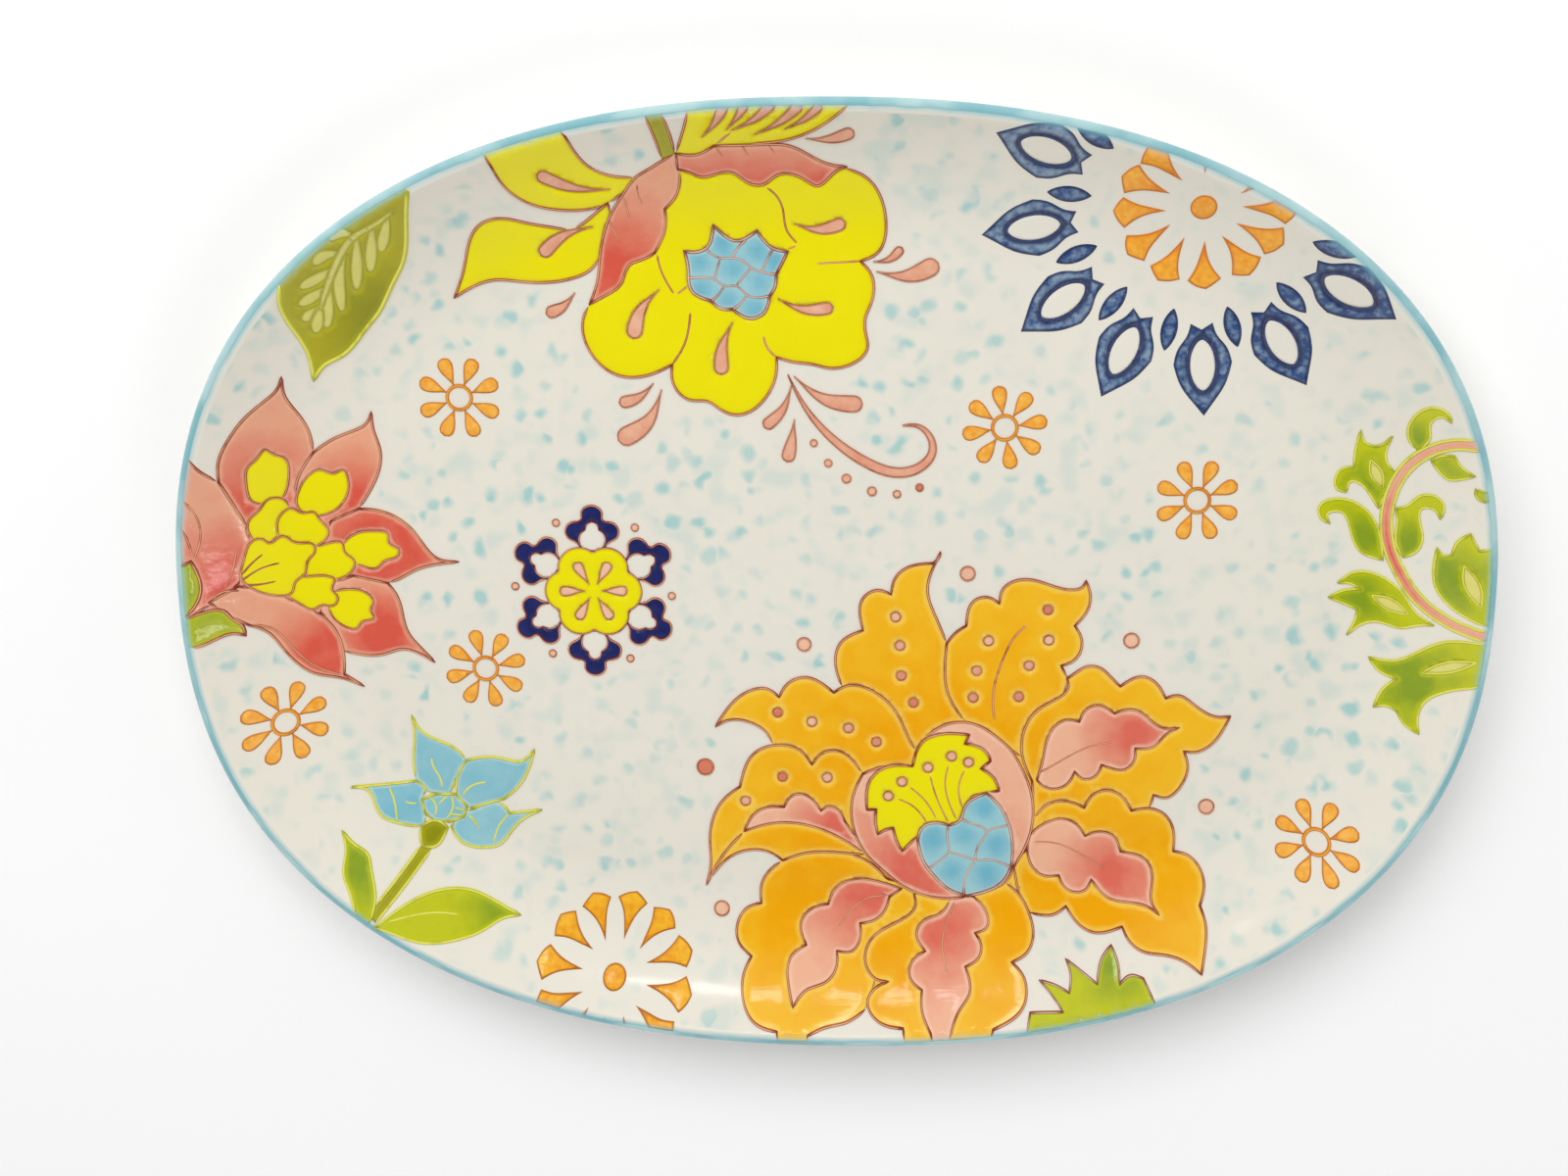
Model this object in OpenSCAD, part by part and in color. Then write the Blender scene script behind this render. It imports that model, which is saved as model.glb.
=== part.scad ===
// Oval china serving platter with tube-lined majolica flowers.
// One fired dish on a foot ring, and the slip and glaze laid on it, each in its own node.
// Millimetres, +Z up, origin under the centre of the foot ring. +Y is the side drawn as the top.

/* [Platter] */
// Overall length along X
length = 406; // [340:2:460]
// Overall width along Y
width = 303.5; // [250:0.5:340]
// Overall height, foot ring included
height = 31; // [26:0.5:38]
// Squareness of the oval: 2 is a true ellipse
squareness = 2.3; // [2:0.05:2.6]
// Thickness of the fired body
wall_t = 5; // [4:0.5:6]

/* [Dish] */
// Distance from the rim to where the curved wall meets the flat well
well_inset = 48; // [36:1:60]

/* [Foot] */
// Height of the foot ring
foot_h = 4.5; // [3:0.5:6]
// Width of the foot ring's face
foot_w = 7; // [5:0.5:10]
// Distance from the rim to the outside of the foot ring
foot_inset = 60; // [54:1:74]

/* [Decoration] */
// Thickness of the coloured glaze at the middle of a pool
glaze_t = 0.7; // [0.4:0.1:1]
// Height of a raised slip line
slip_h = 1; // [0.6:0.1:1.4]
// Width of a raised slip line
slip_w = 1.5; // [1:0.1:2]
// Thickness of the turquoise band over the rim
band_t = 0.25; // [0.15:0.05:0.4]

/* [Hidden] */

design_length = 406;
design_width = 303.5;
around = 72;
half_l = length/2;
half_w = width/2;
lip_r = wall_t/2;
lip_d = band_t + lip_r;
lip_z = height - lip_d;
floor_z = foot_h + wall_t;
seat = 0.15;

// ---------- the dish ----------

// Slope of the wall where it meets the lip, found from the rise it has to make
rise_guess = lip_z + lip_r*0.74 - floor_z;
lip_angle = atan(2*rise_guess/(well_inset - lip_d - lip_r*0.68));
wall_d = lip_d + lip_r*sin(lip_angle);
wall_rise = lip_z + lip_r*cos(lip_angle) - floor_z;

// Angles round the lip, from just past its crest on the inside to under the outside
lip_step = 30;
lip_steps = 6;
lip_turns = [for (k = [1:lip_steps]) lip_angle - lip_step*k];

function oval(d, n = around) = [
    for (i = [0:n-1]) let (a = 360*i/n, c = cos(a), s = sin(a), e = 2/squareness)
        [(half_l - d)*sign(c)*pow(abs(c), e), (half_w - d)*sign(s)*pow(abs(s), e)]
];

// Height and slope angle of the inner wall at distance d from the rim
function inner_z(d) = floor_z + wall_rise*pow(max(0, well_inset - d)/(well_inset - wall_d), 2);
function surface_z(d) =
    d > wall_d ? inner_z(d) : lip_z + sqrt(pow(lip_r, 2) - pow(d - lip_d, 2));
function inner_slope(d) =
    atan(2*wall_rise*max(0, well_inset - d)/pow(well_inset - wall_d, 2));

// How far a plan point is from the rim, up to where the well is flat
function reach(p, d) =
    pow(abs(p[0])/(half_l - d), squareness) + pow(abs(p[1])/(half_w - d), squareness);
function inset_of(p, lo, hi, k) =
    k == 0 ? (lo + hi)/2 :
    let (m = (lo + hi)/2)
    reach(p, m) < 1 ? inset_of(p, m, hi, k - 1) : inset_of(p, lo, m, k - 1);
halvings = 13;
function dish_z(p) =
    reach(p, well_inset) < 1 ? floor_z : surface_z(inset_of(p, lip_d, well_inset, halvings));

// Points past the rim band are pulled back to its inner edge
band_edge_gap = 0.2;
cut_d = lip_d + (lip_r + band_t)*sin(lip_turns[0]) + band_edge_gap;
function cut(p) =
    let (r = reach(p, cut_d)) r <= 1 ? p : p*pow(r, -1/squareness);
function plan(p) = cut([p[0]*length/design_length, p[1]*width/design_width]);

// ---------- closed solids from rings and outlines ----------

// A stack of closed loops with the same number of points, joined by side faces
function tube_faces(n, rows, closed) = [
    for (r = [0:rows - (closed ? 1 : 2)])
        for (i = [0:n-1])
            let (j = (i + 1)%n, q = (r + 1)%rows)
            each [
                [r*n + i, q*n + i, r*n + j],
                [r*n + j, q*n + i, q*n + j]
            ]
];

module joined(parts) {
    starts = [for (i = 0, s = 0; i < len(parts); s = s + len(parts[i][0]), i = i + 1) s];
    polyhedron(
        points = [for (p = parts) each p[0]],
        faces = [for (k = [0:len(parts)-1]) for (f = parts[k][1]) [for (v = f) v + starts[k]]],
        convexity = 6
    );
}

function middle(o) = [for (k = [0, 1]) [for (p = o) p[k]]*[for (p = o) 1]/len(o)];
function lift(p, h) = [p[0], p[1], dish_z(p) + seat + h];

// A domed pool of glaze that follows the dish: outline o runs anticlockwise
function pool(o, rings = 1, t = glaze_t) =
    let (
        e = [for (p = o) plan(p)],
        n = len(e),
        c = middle(e),
        loops = [for (k = [1:rings]) [for (p = e) c + (p - c)*k/rings]],
        up = [for (k = [0:rings-1]) for (p = loops[k]) lift(p, t*(1 - 0.5*pow((k + 1)/rings, 3)))],
        low = [for (k = [0:rings-1]) for (p = loops[k]) lift(p, 0)],
        top = 2*rings*n
    )
    [
        concat(up, low, [lift(c, t), lift(c, 0)]),
        concat(
            [for (i = [0:n-1]) [top, (i + 1)%n, i]],
            [for (i = [0:n-1]) [top + 1, rings*n + i, rings*n + (i + 1)%n]],
            rings < 2 ? [] : [
                for (k = [0:rings-2])
                    for (i = [0:n-1])
                        let (a = k*n + i, b = k*n + (i + 1)%n, m = rings*n)
                        each [
                            [a, b, a + n], [b, b + n, a + n],
                            [m + a, m + a + n, m + b], [m + b, m + a + n, m + b + n]
                        ]
            ],
            [
                for (i = [0:n-1])
                    let (a = (rings - 1)*n + i, b = (rings - 1)*n + (i + 1)%n, m = rings*n)
                    each [[a, b, m + a], [b, m + b, m + a]]
            ]
        )
    ];

// A flat ring of glaze between two outlines with the same number of points
function ring_pool(o, inner, t = glaze_t) =
    let (
        a = [for (p = o) plan(p)],
        b = [for (p = inner) plan(p)],
        n = len(o),
        loops = concat(
            [for (p = b) lift(p, 0)], [for (p = b) lift(p, t)],
            [for (p = a) lift(p, t)], [for (p = a) lift(p, 0)]
        )
    )
    [loops, tube_faces(n, 4, true)];

// A raised slip line with three-sided section along a path
function line_section(path, i, closed, w, h) =
    let (
        n = len(path),
        a = path[closed ? (i + n - 1)%n : max(0, i - 1)],
        b = path[closed ? (i + 1)%n : min(n - 1, i + 1)],
        t = (b - a)/max(0.001, norm(b - a)),
        side = [-t[1], t[0]]*w/2
    )
    [lift(path[i] - side, 0), lift(path[i] + side, 0), lift(path[i], h)];
function line(path, closed = false, w = slip_w, h = slip_h) =
    let (
        p = [for (q = path) plan(q)],
        n = len(p),
        pts = [for (i = [0:n-1]) each line_section(p, i, closed, w, h)]
    )
    [
        pts,
        concat(
            tube_faces(3, n, closed),
            closed ? [] : [[0, 1, 2], [3*n - 1, 3*n - 2, 3*n - 3]]
        )
    ];

// ---------- outlines ----------

function dir(a) = [cos(a), sin(a)];

// Leaf or petal from foot to tip: w is half the width, k over 1 moves the wide part
// towards the tip, bow bends the middle sideways and point sharpens both ends
function petal(foot, tip, w, k = 1, bow = 0, n = 8, point = 0.8) =
    let (
        v = tip - foot,
        side = [-v[1], v[0]]/norm(v),
        at = [for (i = [0:n]) i/n],
        mid = [for (u = at) foot + v*u + side*bow*sin(180*u)],
        half = [for (u = at) w*pow(max(0, sin(180*pow(u, k))), point)]
    )
    concat(
        [for (i = [0:n]) mid[i] - side*half[i]],
        [for (i = [n-1:-1:1]) mid[i] + side*half[i]]
    );

function disc(c, r, n = 8) = [for (i = [0:n-1]) c + r*dir(360*i/n)];
function egg(c, half, n = 24) = [
    for (i = [0:n-1]) let (q = dir(360*i/n)) c + [half[0]*q[0], half[1]*q[1]]
];
function lobed(c, r, lobes, depth, turn, n) = [
    for (i = [0:n-1]) let (a = 360*i/n) c + r*(1 + depth*cos(lobes*(a - turn)))*dir(a)
];

// The same outline moved outwards by g from its middle
function grown(o, g) = let (c = middle(o)) [for (p = o) c + (p - c)*(1 + g/norm(p - c))];

// Smooth path through hand-placed points
function spline_at(a, b, c, d, u) =
    0.5*(2*b + (c - a)*u + (2*a - 5*b + 4*c - d)*u*u + (3*b - a - 3*c + d)*u*u*u);
function smooth(p, steps = 4) =
    let (n = len(p))
    concat(
        [
            for (i = [0:n-2])
                for (s = [0:steps-1])
                    spline_at(p[max(0, i-1)], p[i], p[i+1], p[min(n-1, i+2)], s/steps)
        ],
        [p[n-1]]
    );

// ---------- where the motifs lie ----------

yellow_petals = [
    petal([-17, 106], [17, 115], 14, 1.5, 0),
    petal([-15, 92], [13, 80], 14, 1.5, 0),
    petal([-30, 82], [-30, 52], 16, 1.5, 0),
    petal([-45, 92], [-75, 70], 14, 1.5, 0),
    petal([-32, 111], [-27, 130], 17, 0.8, 0)
];
yellow_leaves = [
    petal([-57, 127], [-101, 134], 8, 1.1, 3),
    petal([-74, 112], [-118, 92], 9, 1.1, -4),
    petal([-43, 137], [4, 151], 4.5, 1.1, 0)
];
yellow_sepals = [
    petal([-47, 131], [-74, 88], 6, 1.1, -4),
    petal([-42, 133], [6, 129], 5, 1, 3)
];
berry_bed = [-30, 97];
petal_drops = [
    [[-88, 128], [-67, 122]], [[-90, 102], [-74, 108]], [[4, 113], [-9, 110]],
    [[0, 86], [-13, 88]], [[-34, 66], [-29, 80]], [[-61, 77], [-53, 88]]
];
spray = [
    [[7, 141], [-7, 138]], [[23, 104], [14, 101]], [[32, 99], [15, 97]], [[-90, 84], [-80, 90]],
    [[-65, 58], [-56, 62]], [[-69, 45], [-54, 59]], [[-21, 50], [-14, 59]],
    [[-14, 37], [-11, 49]], [[10, 57], [-8, 64]]
];
curl_path = [[-12, 63], [-3, 50], [8, 40], [21, 35], [31, 40], [31, 48], [23, 50]];
spray_spots = [[-5, 44], [0, 38], [5, 33], [13, 29], [21, 28], [28, 30]];

coral_petals = [
    petal([-176, 24], [-170, 64], 12, 0.8),
    petal([-160, 20], [-144, 50], 9, 0.8),
    petal([-157, 8], [-122, 4], 9, 0.8),
    petal([-156, -6], [-128, -28], 9, 0.9),
    petal([-183, -7], [-152, -37], 8, 0.9, -3),
    petal([-188, -3], [-196, 40], 7, 0.7, -2)
];
coral_stamens = [
    [-176, 34, 5], [-161, 27, 5.5], [-148, 8, 5.5], [-178, 18, 4.5], [-167, 15, 5],
    [-159, 3, 4.5], [-165, -8, 4.5], [-152, -14, 5], [-177, 3, 7]
];

throat = [37, -78];
throat_half = [28, 30];
throat_w = 5;
orange_petals = [
    petal([24, -45], [34, 9], 17, 0.9, 3),
    petal([50, -43], [81, 0], 19, 1, 3),
    petal([70, -58], [128, -44], 16, 0.8, 0),
    petal([69, -86], [121, -124], 18, 1, 3),
    petal([58, -108], [60, -142], 9, 1.1),
    petal([28, -114], [24, -146], 9, 1.1),
    petal([9, -106], [-24, -142], 12, 1),
    petal([6, -92], [-38, -103], 9, 1, -1),
    petal([5, -76], [-34, -72], 9, 1, 2),
    petal([17, -55], [-37, -49], 11, 0.9, -3)
];
inner_leaves = [
    petal([70, -62], [111, -48], 7, 1, 1, 6),
    petal([72, -92], [106, -108], 7, 1, 1, 6),
    petal([5, -112], [-8, -132], 6, 1, 0, 6),
    petal([44, -113], [40, -146], 5, 1, 0, 6)
];
orange_spots = [
    [21, -12], [22, -22], [23, -32], [27, -41], [51, -20], [47, -30], [46, -39],
    [69, -10], [70, -19], [64, -28], [60, -38], [-5, -48], [6, -50], [15, -54], [0, -67]
];
field_spots = [[44, 2], [96, -19], [122, -75], [-8, -22], [-40, -64], [-35, -113]];
orange_berries = [
    [33, -92, 3.6], [43, -84, 3.8], [52, -78, 3.6], [55, -89, 3.6], [41, -97, 3.8], [51, -101, 3.8]
];
tuft_tips = [[70, -133], [79, -124], [92, -119], [102, -129]];
tuft_root = [88, -139];

blue_petals = [
    petal([-128, -74], [-135, -51], 8, 0.8),
    petal([-121, -73], [-98, -60], 8, 0.9),
    petal([-120, -81], [-99, -88], 7, 0.9),
    petal([-133, -78], [-155, -71], 7, 0.9)
];
blue_leaves = [
    petal([-149, -108], [-157, -85], 4.5, 1, 0, 6),
    petal([-144, -113], [-102, -114], 6.5, 1, 0, 6)
];

star_at = [-75, -5];
navy_at = [110.5, 119];
amber_at = [-70, -133];
rosette_step = 28.5;

vine_path = [
    [196, 50], [184, 48], [175, 39], [172, 25], [174, 11], [182, -3], [194, -9], [202, -10]
];
vine_blades = [
    petal([180, 48], [183, 60], 3.4, 0.9, 2, 5),
    petal([170, 31], [161, 49], 6, 0.9, 0, 5),
    petal([170, 10], [153, 25], 5, 0.8, 4, 5),
    petal([178, 11], [184, 32], 4.5, 0.7, 2, 5),
    petal([184, 44], [192, 38], 3.4, 1, 0, 5),
    petal([180, -9], [157, -4], 6, 0.8, 0, 5),
    petal([192, -3], [193, 20], 7, 0.8, 0, 5),
    petal([199, -15], [173, -37], 8, 1, 2, 5)
];
daisy_centres = [
    [-115.5, 58], [54, 50], [114, 27.5], [-110.5, -30.5], [-174.5, -47], [155.5, -81.5]
];
daisy_turns = [22, 10, 24, 15, 26, 22];

leaf_tip = [-129, 122];
leaf_foot = [-161, 66];

// ---------- the fired dish ----------

// Section of the body as [distance from the rim, height], from the well out over the lip and under
inside_steps = 9;
outside_steps = 7;
body_section = concat(
    [
        for (k = [0:inside_steps])
            let (d = well_inset + (wall_d - well_inset)*k/inside_steps)
            [d, inner_z(d)]
    ],
    [for (a = lip_turns) [lip_d + lip_r*sin(a), lip_z + lip_r*cos(a)]],
    [
        for (k = [1:outside_steps])
            let (d = wall_d + (well_inset - wall_d)*k/outside_steps, a = inner_slope(d))
            [d - wall_t*sin(a), inner_z(d) - wall_t*cos(a)]
    ]
);
body_rows = len(body_section);

module platter_body() {
    color("ivory")
        polyhedron(
            points = [for (s = body_section) for (p = oval(s[0])) [p[0], p[1], s[1] - seat]],
            faces = concat(
                tube_faces(around, body_rows, false),
                [[for (i = [0:around-1]) i]],
                [[for (i = [around-1:-1:0]) (body_rows - 1)*around + i]]
            ),
            convexity = 4
        );
}

module foot_ring() {
    color("wheat")
        linear_extrude(height = foot_h - seat)
            difference() {
                polygon(oval(foot_inset));
                polygon(oval(foot_inset + foot_w));
            }
}

// The band wraps the lip from just past its crest to under the outside of the rim
module rim_band() {
    outer_r = lip_r + band_t;
    outer = [for (a = lip_turns) [lip_d + outer_r*sin(a), lip_z + outer_r*cos(a)]];
    inner = [
        for (k = [lip_steps-1:-1:0])
            let (a = lip_turns[k])
            [lip_d + lip_r*sin(a), lip_z + lip_r*cos(a)]
    ];
    section = concat(outer, inner);
    color("mediumturquoise")
        polyhedron(
            points = [for (s = section) for (p = oval(s[0])) [p[0], p[1], s[1]]],
            faces = tube_faces(around, len(section), true),
            convexity = 4
        );
}

// ---------- yellow bloom ----------

module yellow_bloom_petals() {
    color("gold") joined([for (o = yellow_petals) pool(o, 2)]);
}
module yellow_bloom_sepals() {
    color("indianred") joined([for (o = yellow_sepals) pool(o, 2)]);
}
module yellow_bloom_leaves() {
    color("khaki") joined([for (o = yellow_leaves) pool(o, 2)]);
}
module yellow_bloom_berries() {
    rows = [-1, 0, 1];
    cells = [
        for (r = rows)
            for (c = rows)
                berry_bed + [9*c + 3*r, 8*r - 1.5*c]
    ];
    color("skyblue") joined([for (p = cells) pool(lobed(p, 3.7, 6, 0.05, 0, 8))]);
}
module yellow_bloom_stem() {
    color("olive") joined([pool(petal([-52, 146], [-48, 133], 2.4, 1, 0, 5, 0.3))]);
}
module yellow_bloom_drops() {
    color("salmon")
        translate([0, 0, glaze_t])
            joined([for (d = petal_drops) pool(petal(d[1], d[0], 1.8, 1.4, 0, 5))]);
}
module yellow_bloom_slip() {
    color("sienna")
        joined([for (o = concat(yellow_petals, yellow_leaves)) line(grown(o, 1.2), true)]);
}

// ---------- coral spray beside the yellow bloom ----------

module spray_drops() {
    color("salmon") joined([for (d = spray) pool(petal(d[1], d[0], 2.6, 1.4, 1, 5))]);
}
module spray_curl() {
    color("salmon") joined([line(smooth(curl_path), false, 2.4, slip_h)]);
}
module spray_dots() {
    color("salmon") joined([for (p = spray_spots) pool(disc(p, 1.2, 6))]);
}

// ---------- coral bloom ----------

module coral_bloom_petals() {
    color("coral") joined([for (o = coral_petals) pool(o, 2)]);
}
module coral_bloom_stamens() {
    color("gold")
        translate([0, 0, glaze_t])
            joined([for (s = coral_stamens) pool(lobed([s[0], s[1]], s[2], 5, 0.12, 30, 10))]);
}
module coral_bloom_leaves() {
    color("yellowgreen")
        joined([
            pool(petal([-197.5, 8], [-197, -6], 2, 1, 0, 5)),
            pool(petal([-197, -14], [-187, -17], 3, 1, 0, 5))
        ]);
}
module coral_bloom_slip() {
    color("sienna") joined([for (k = [0:4]) line(grown(coral_petals[k], 1.2), true)]);
}

// ---------- orange bloom ----------

module orange_bloom_petals() {
    color("orange") joined([for (o = orange_petals) pool(o, 2)]);
}
module orange_bloom_inner_leaves() {
    color("salmon") translate([0, 0, glaze_t]) joined([for (o = inner_leaves) pool(o)]);
}
module orange_bloom_throat() {
    color("salmon")
        joined([ring_pool(
            egg(throat, throat_half),
            egg(throat, throat_half - [throat_w, throat_w])
        )]);
}
module orange_bloom_fan() {
    color("gold") joined([pool(petal([40, -78], [19, -69], 15, 0.9, 0, 7, 0.6), 2)]);
}
module orange_bloom_berries() {
    color("skyblue") joined([for (b = orange_berries) pool(disc([b[0], b[1]], b[2]))]);
}
module orange_bloom_dots() {
    color("peru")
        translate([0, 0, glaze_t])
            joined([for (p = orange_spots) pool(disc(p, 1.3, 6))]);
}
module orange_bloom_slip() {
    color("sienna") joined([for (k = [0:3]) line(grown(orange_petals[k], 1.2), true)]);
}
module green_tuft() {
    color("yellowgreen")
        joined([for (t = tuft_tips) pool(petal(tuft_root + 0.3*(t - tuft_root), t, 2.6, 1, 0, 4))]);
}
module scattered_dots() {
    color("salmon") joined([for (p = field_spots) pool(disc(p, 2.3))]);
}

// ---------- blue flower ----------

module blue_flower_petals() {
    color("skyblue") joined([for (o = blue_petals) pool(o)]);
}
module blue_flower_calyx_stem() {
    color("olive")
        joined([
            pool(disc([-130, -88], 3.8)),
            line([[-132, -93], [-136, -99], [-141, -105], [-146, -109]], false, 2.6, slip_h)
        ]);
}
module blue_flower_leaves() {
    color("yellowgreen") joined([for (o = blue_leaves) pool(o)]);
}
module blue_flower_slip() {
    color("khaki") joined([for (o = blue_petals) line(grown(o, 1), true, 1.2)]);
}

// ---------- rosettes ----------

module star_rosette_centre() {
    color("gold") joined([pool(lobed(star_at, 13.5, 6, 0.1, 0, 24))]);
}
module star_rosette_points() {
    color("midnightblue")
        joined([
            for (a = [30:60:330])
                ring_pool(
                    lobed(star_at + 21.5*dir(a), 5.4, 3, 0.2, a, 12),
                    disc(star_at + 21*dir(a), 2.4, 12)
                )
        ]);
}

// Pointed petals with an open eye, in a ring that the rim cuts off
module navy_rosette_petals() {
    color("slateblue")
        joined([
            for (k = [-4:2])
                let (a = -86 + rosette_step*k, f = navy_at + 38*dir(a), t = navy_at + 64*dir(a))
                ring_pool(
                    petal(f, t, 8, 0.8, 0, 6),
                    petal(f + 0.3*(t - f), f + 0.72*(t - f), 2.8, 0.8, 0, 6)
                )
        ]);
}
module navy_rosette_lozenges() {
    color("midnightblue")
        joined([
            for (k = [-3:3]) let (a = -101 + rosette_step*k)
                pool(petal(navy_at + 33*dir(a), navy_at + 44*dir(a), 2.2, 1, 0, 4))
        ]);
}
function flare(c, a, r0, r1) =
    let (s = dir(a + 90), f = c + r0*dir(a), t = c + r1*dir(a))
    [f, t - 5*s - 4*dir(a), t - 3.6*s, t, t + 3.6*s, t + 5*s - 4*dir(a)];
module navy_rosette_flares() {
    color("darkorange")
        joined(concat(
            [pool(disc(navy_at, 3.6))],
            [for (k = [-4:2]) pool(flare(navy_at, -86 + rosette_step*k, 12, 26))]
        ));
}
module orange_rosette_flares() {
    color("darkorange")
        joined(concat(
            [pool(disc(amber_at, 3.6))],
            [for (k = [-2.5:2.5]) pool(flare(amber_at, 90 + rosette_step*k, 12, 24))]
        ));
}

// ---------- leaves, vine and daisies ----------

module olive_leaf() {
    color("olive") joined([pool(petal(leaf_foot, leaf_tip, 13, 0.9, 0, 9), 2)]);
}
module olive_leaf_veins() {
    v = leaf_tip - leaf_foot;
    side = [-v[1], v[0]]/norm(v);
    color("khaki")
        translate([0, 0, glaze_t])
            joined(concat(
                [line([for (u = [0.1:0.1:0.85]) leaf_foot + v*u], false, 1, 0.4)],
                [
                    for (u = [0.3:0.15:0.6]) for (s = [-1, 1])
                        line([
                            for (q = [1.2, 4, 7]) leaf_foot + v*(u + q/90) + side*s*q
                        ], false, 0.8, 0.4)
                ]
            ));
}
module vine_stem() {
    color("salmon") joined([line(smooth(vine_path, 3), false, 2.8, slip_h)]);
}
module vine_leaves() {
    color("yellowgreen") joined([for (o = vine_blades) pool(o)]);
}

module daisy_petals() {
    color("orange")
        joined([
            for (k = [0:len(daisy_centres)-1]) for (j = [0:7])
                let (a = daisy_turns[k] + 45*j)
                pool(petal(
                    daisy_centres[k] + 4.6*dir(a), daisy_centres[k] + 13.2*dir(a), 2.1, 1.3, 0, 4
                ))
        ]);
}
module daisy_rings() {
    color("darkorange")
        joined([for (c = daisy_centres) ring_pool(disc(c, 4.2, 12), disc(c, 3, 12), slip_h/2)]);
}

platter_body();
foot_ring();
rim_band();
yellow_bloom_petals();
yellow_bloom_sepals();
yellow_bloom_berries();
yellow_bloom_leaves();
yellow_bloom_stem();
yellow_bloom_drops();
yellow_bloom_slip();
spray_drops();
spray_curl();
spray_dots();
coral_bloom_petals();
coral_bloom_stamens();
coral_bloom_leaves();
coral_bloom_slip();
orange_bloom_petals();
orange_bloom_inner_leaves();
orange_bloom_throat();
orange_bloom_fan();
orange_bloom_berries();
orange_bloom_dots();
orange_bloom_slip();
green_tuft();
scattered_dots();
blue_flower_petals();
blue_flower_calyx_stem();
blue_flower_leaves();
blue_flower_slip();
star_rosette_centre();
star_rosette_points();
navy_rosette_petals();
navy_rosette_lozenges();
navy_rosette_flares();
orange_rosette_flares();
olive_leaf();
olive_leaf_veins();
vine_stem();
vine_leaves();
daisy_petals();
daisy_rings();
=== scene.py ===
"""Oval majolica serving platter: a dished body, raised slip lines and pools of coloured glaze.

Plan coordinates are millimetres from the platter's centre, +X along its length and +Y towards the side
drawn as the top. build_mesh() turns them into metres.
"""
import math
from collections import defaultdict, namedtuple

import bpy
import numpy as np
from mathutils import Matrix, Vector, kdtree
from mathutils.geometry import delaunay_2d_cdt


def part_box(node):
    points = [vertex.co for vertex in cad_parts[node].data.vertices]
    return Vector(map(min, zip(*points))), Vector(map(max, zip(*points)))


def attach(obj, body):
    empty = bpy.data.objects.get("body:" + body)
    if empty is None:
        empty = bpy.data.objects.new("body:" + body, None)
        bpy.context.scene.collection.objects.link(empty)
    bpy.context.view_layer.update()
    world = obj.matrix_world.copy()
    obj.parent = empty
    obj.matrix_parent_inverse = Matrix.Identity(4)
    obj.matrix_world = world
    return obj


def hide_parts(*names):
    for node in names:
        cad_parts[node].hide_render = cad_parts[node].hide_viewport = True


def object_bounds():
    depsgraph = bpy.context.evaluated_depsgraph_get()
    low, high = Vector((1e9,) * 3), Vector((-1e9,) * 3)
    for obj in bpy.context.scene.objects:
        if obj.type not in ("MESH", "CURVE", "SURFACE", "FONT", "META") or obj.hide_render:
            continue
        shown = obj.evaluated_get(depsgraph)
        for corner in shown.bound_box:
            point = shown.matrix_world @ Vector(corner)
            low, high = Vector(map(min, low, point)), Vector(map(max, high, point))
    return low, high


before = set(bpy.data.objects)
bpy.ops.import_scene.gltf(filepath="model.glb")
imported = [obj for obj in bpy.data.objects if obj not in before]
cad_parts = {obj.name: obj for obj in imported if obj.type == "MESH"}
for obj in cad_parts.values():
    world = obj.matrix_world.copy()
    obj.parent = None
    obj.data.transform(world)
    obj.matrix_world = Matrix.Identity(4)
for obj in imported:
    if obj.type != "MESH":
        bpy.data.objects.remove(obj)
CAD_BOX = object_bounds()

MM = 0.001

# ---------------------------------------------------------------- driving dimensions, mm
HALF_L = CAD_BOX[1].x / MM
HALF_W = CAD_BOX[1].y / MM
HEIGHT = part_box("rim_band")[1].z / MM
FOOT_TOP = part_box("foot_ring")[1].z / MM
FOOT_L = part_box("foot_ring")[1].x / MM
SQUARENESS = 2.3
WALL_T = 5.0
BAND_T = 0.25
WELL_INSET = 48.0
FOOT_W = 7.0

LIP_R = WALL_T / 2
LIP_D = BAND_T + LIP_R
LIP_Z = HEIGHT - LIP_D
FLOOR_Z = FOOT_TOP + WALL_T
LIP_ANGLE = math.atan(2 * (LIP_Z + LIP_R * 0.74 - FLOOR_Z) / (WELL_INSET - LIP_D - LIP_R * 0.68))
WALL_D = LIP_D + LIP_R * math.sin(LIP_ANGLE)
WALL_RISE = LIP_Z + LIP_R * math.cos(LIP_ANGLE) - FLOOR_Z
CUT_D = LIP_D - 0.45
WIPE_W = 1.7

# ---------------------------------------------------------------- the dish surface


def reach(x, y, d):
    """Under 1 inside the oval that lies d in from the rim, over 1 outside it."""
    return (np.abs(x) / (HALF_L - d)) ** SQUARENESS + (np.abs(y) / (HALF_W - d)) ** SQUARENESS


def inset(x, y):
    """Distance in from the rim, from 0 to where the well is flat."""
    low, high = np.zeros_like(x), np.full_like(x, WELL_INSET)
    for _ in range(16):
        mid = (low + high) / 2
        inside = reach(x, y, mid) < 1
        low, high = np.where(inside, mid, low), np.where(inside, high, mid)
    return (low + high) / 2


def wall_z(d):
    """Height of the inside at d from the rim: lip, curved wall and flat well."""
    d = np.asarray(d, float)
    wall = FLOOR_Z + WALL_RISE * (np.clip(WELL_INSET - d, 0, None) / (WELL_INSET - WALL_D)) ** 2
    lip = LIP_Z + np.sqrt(np.clip(LIP_R ** 2 - (d - LIP_D) ** 2, 0, None))
    return np.where(d < WALL_D, lip, wall)


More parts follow.
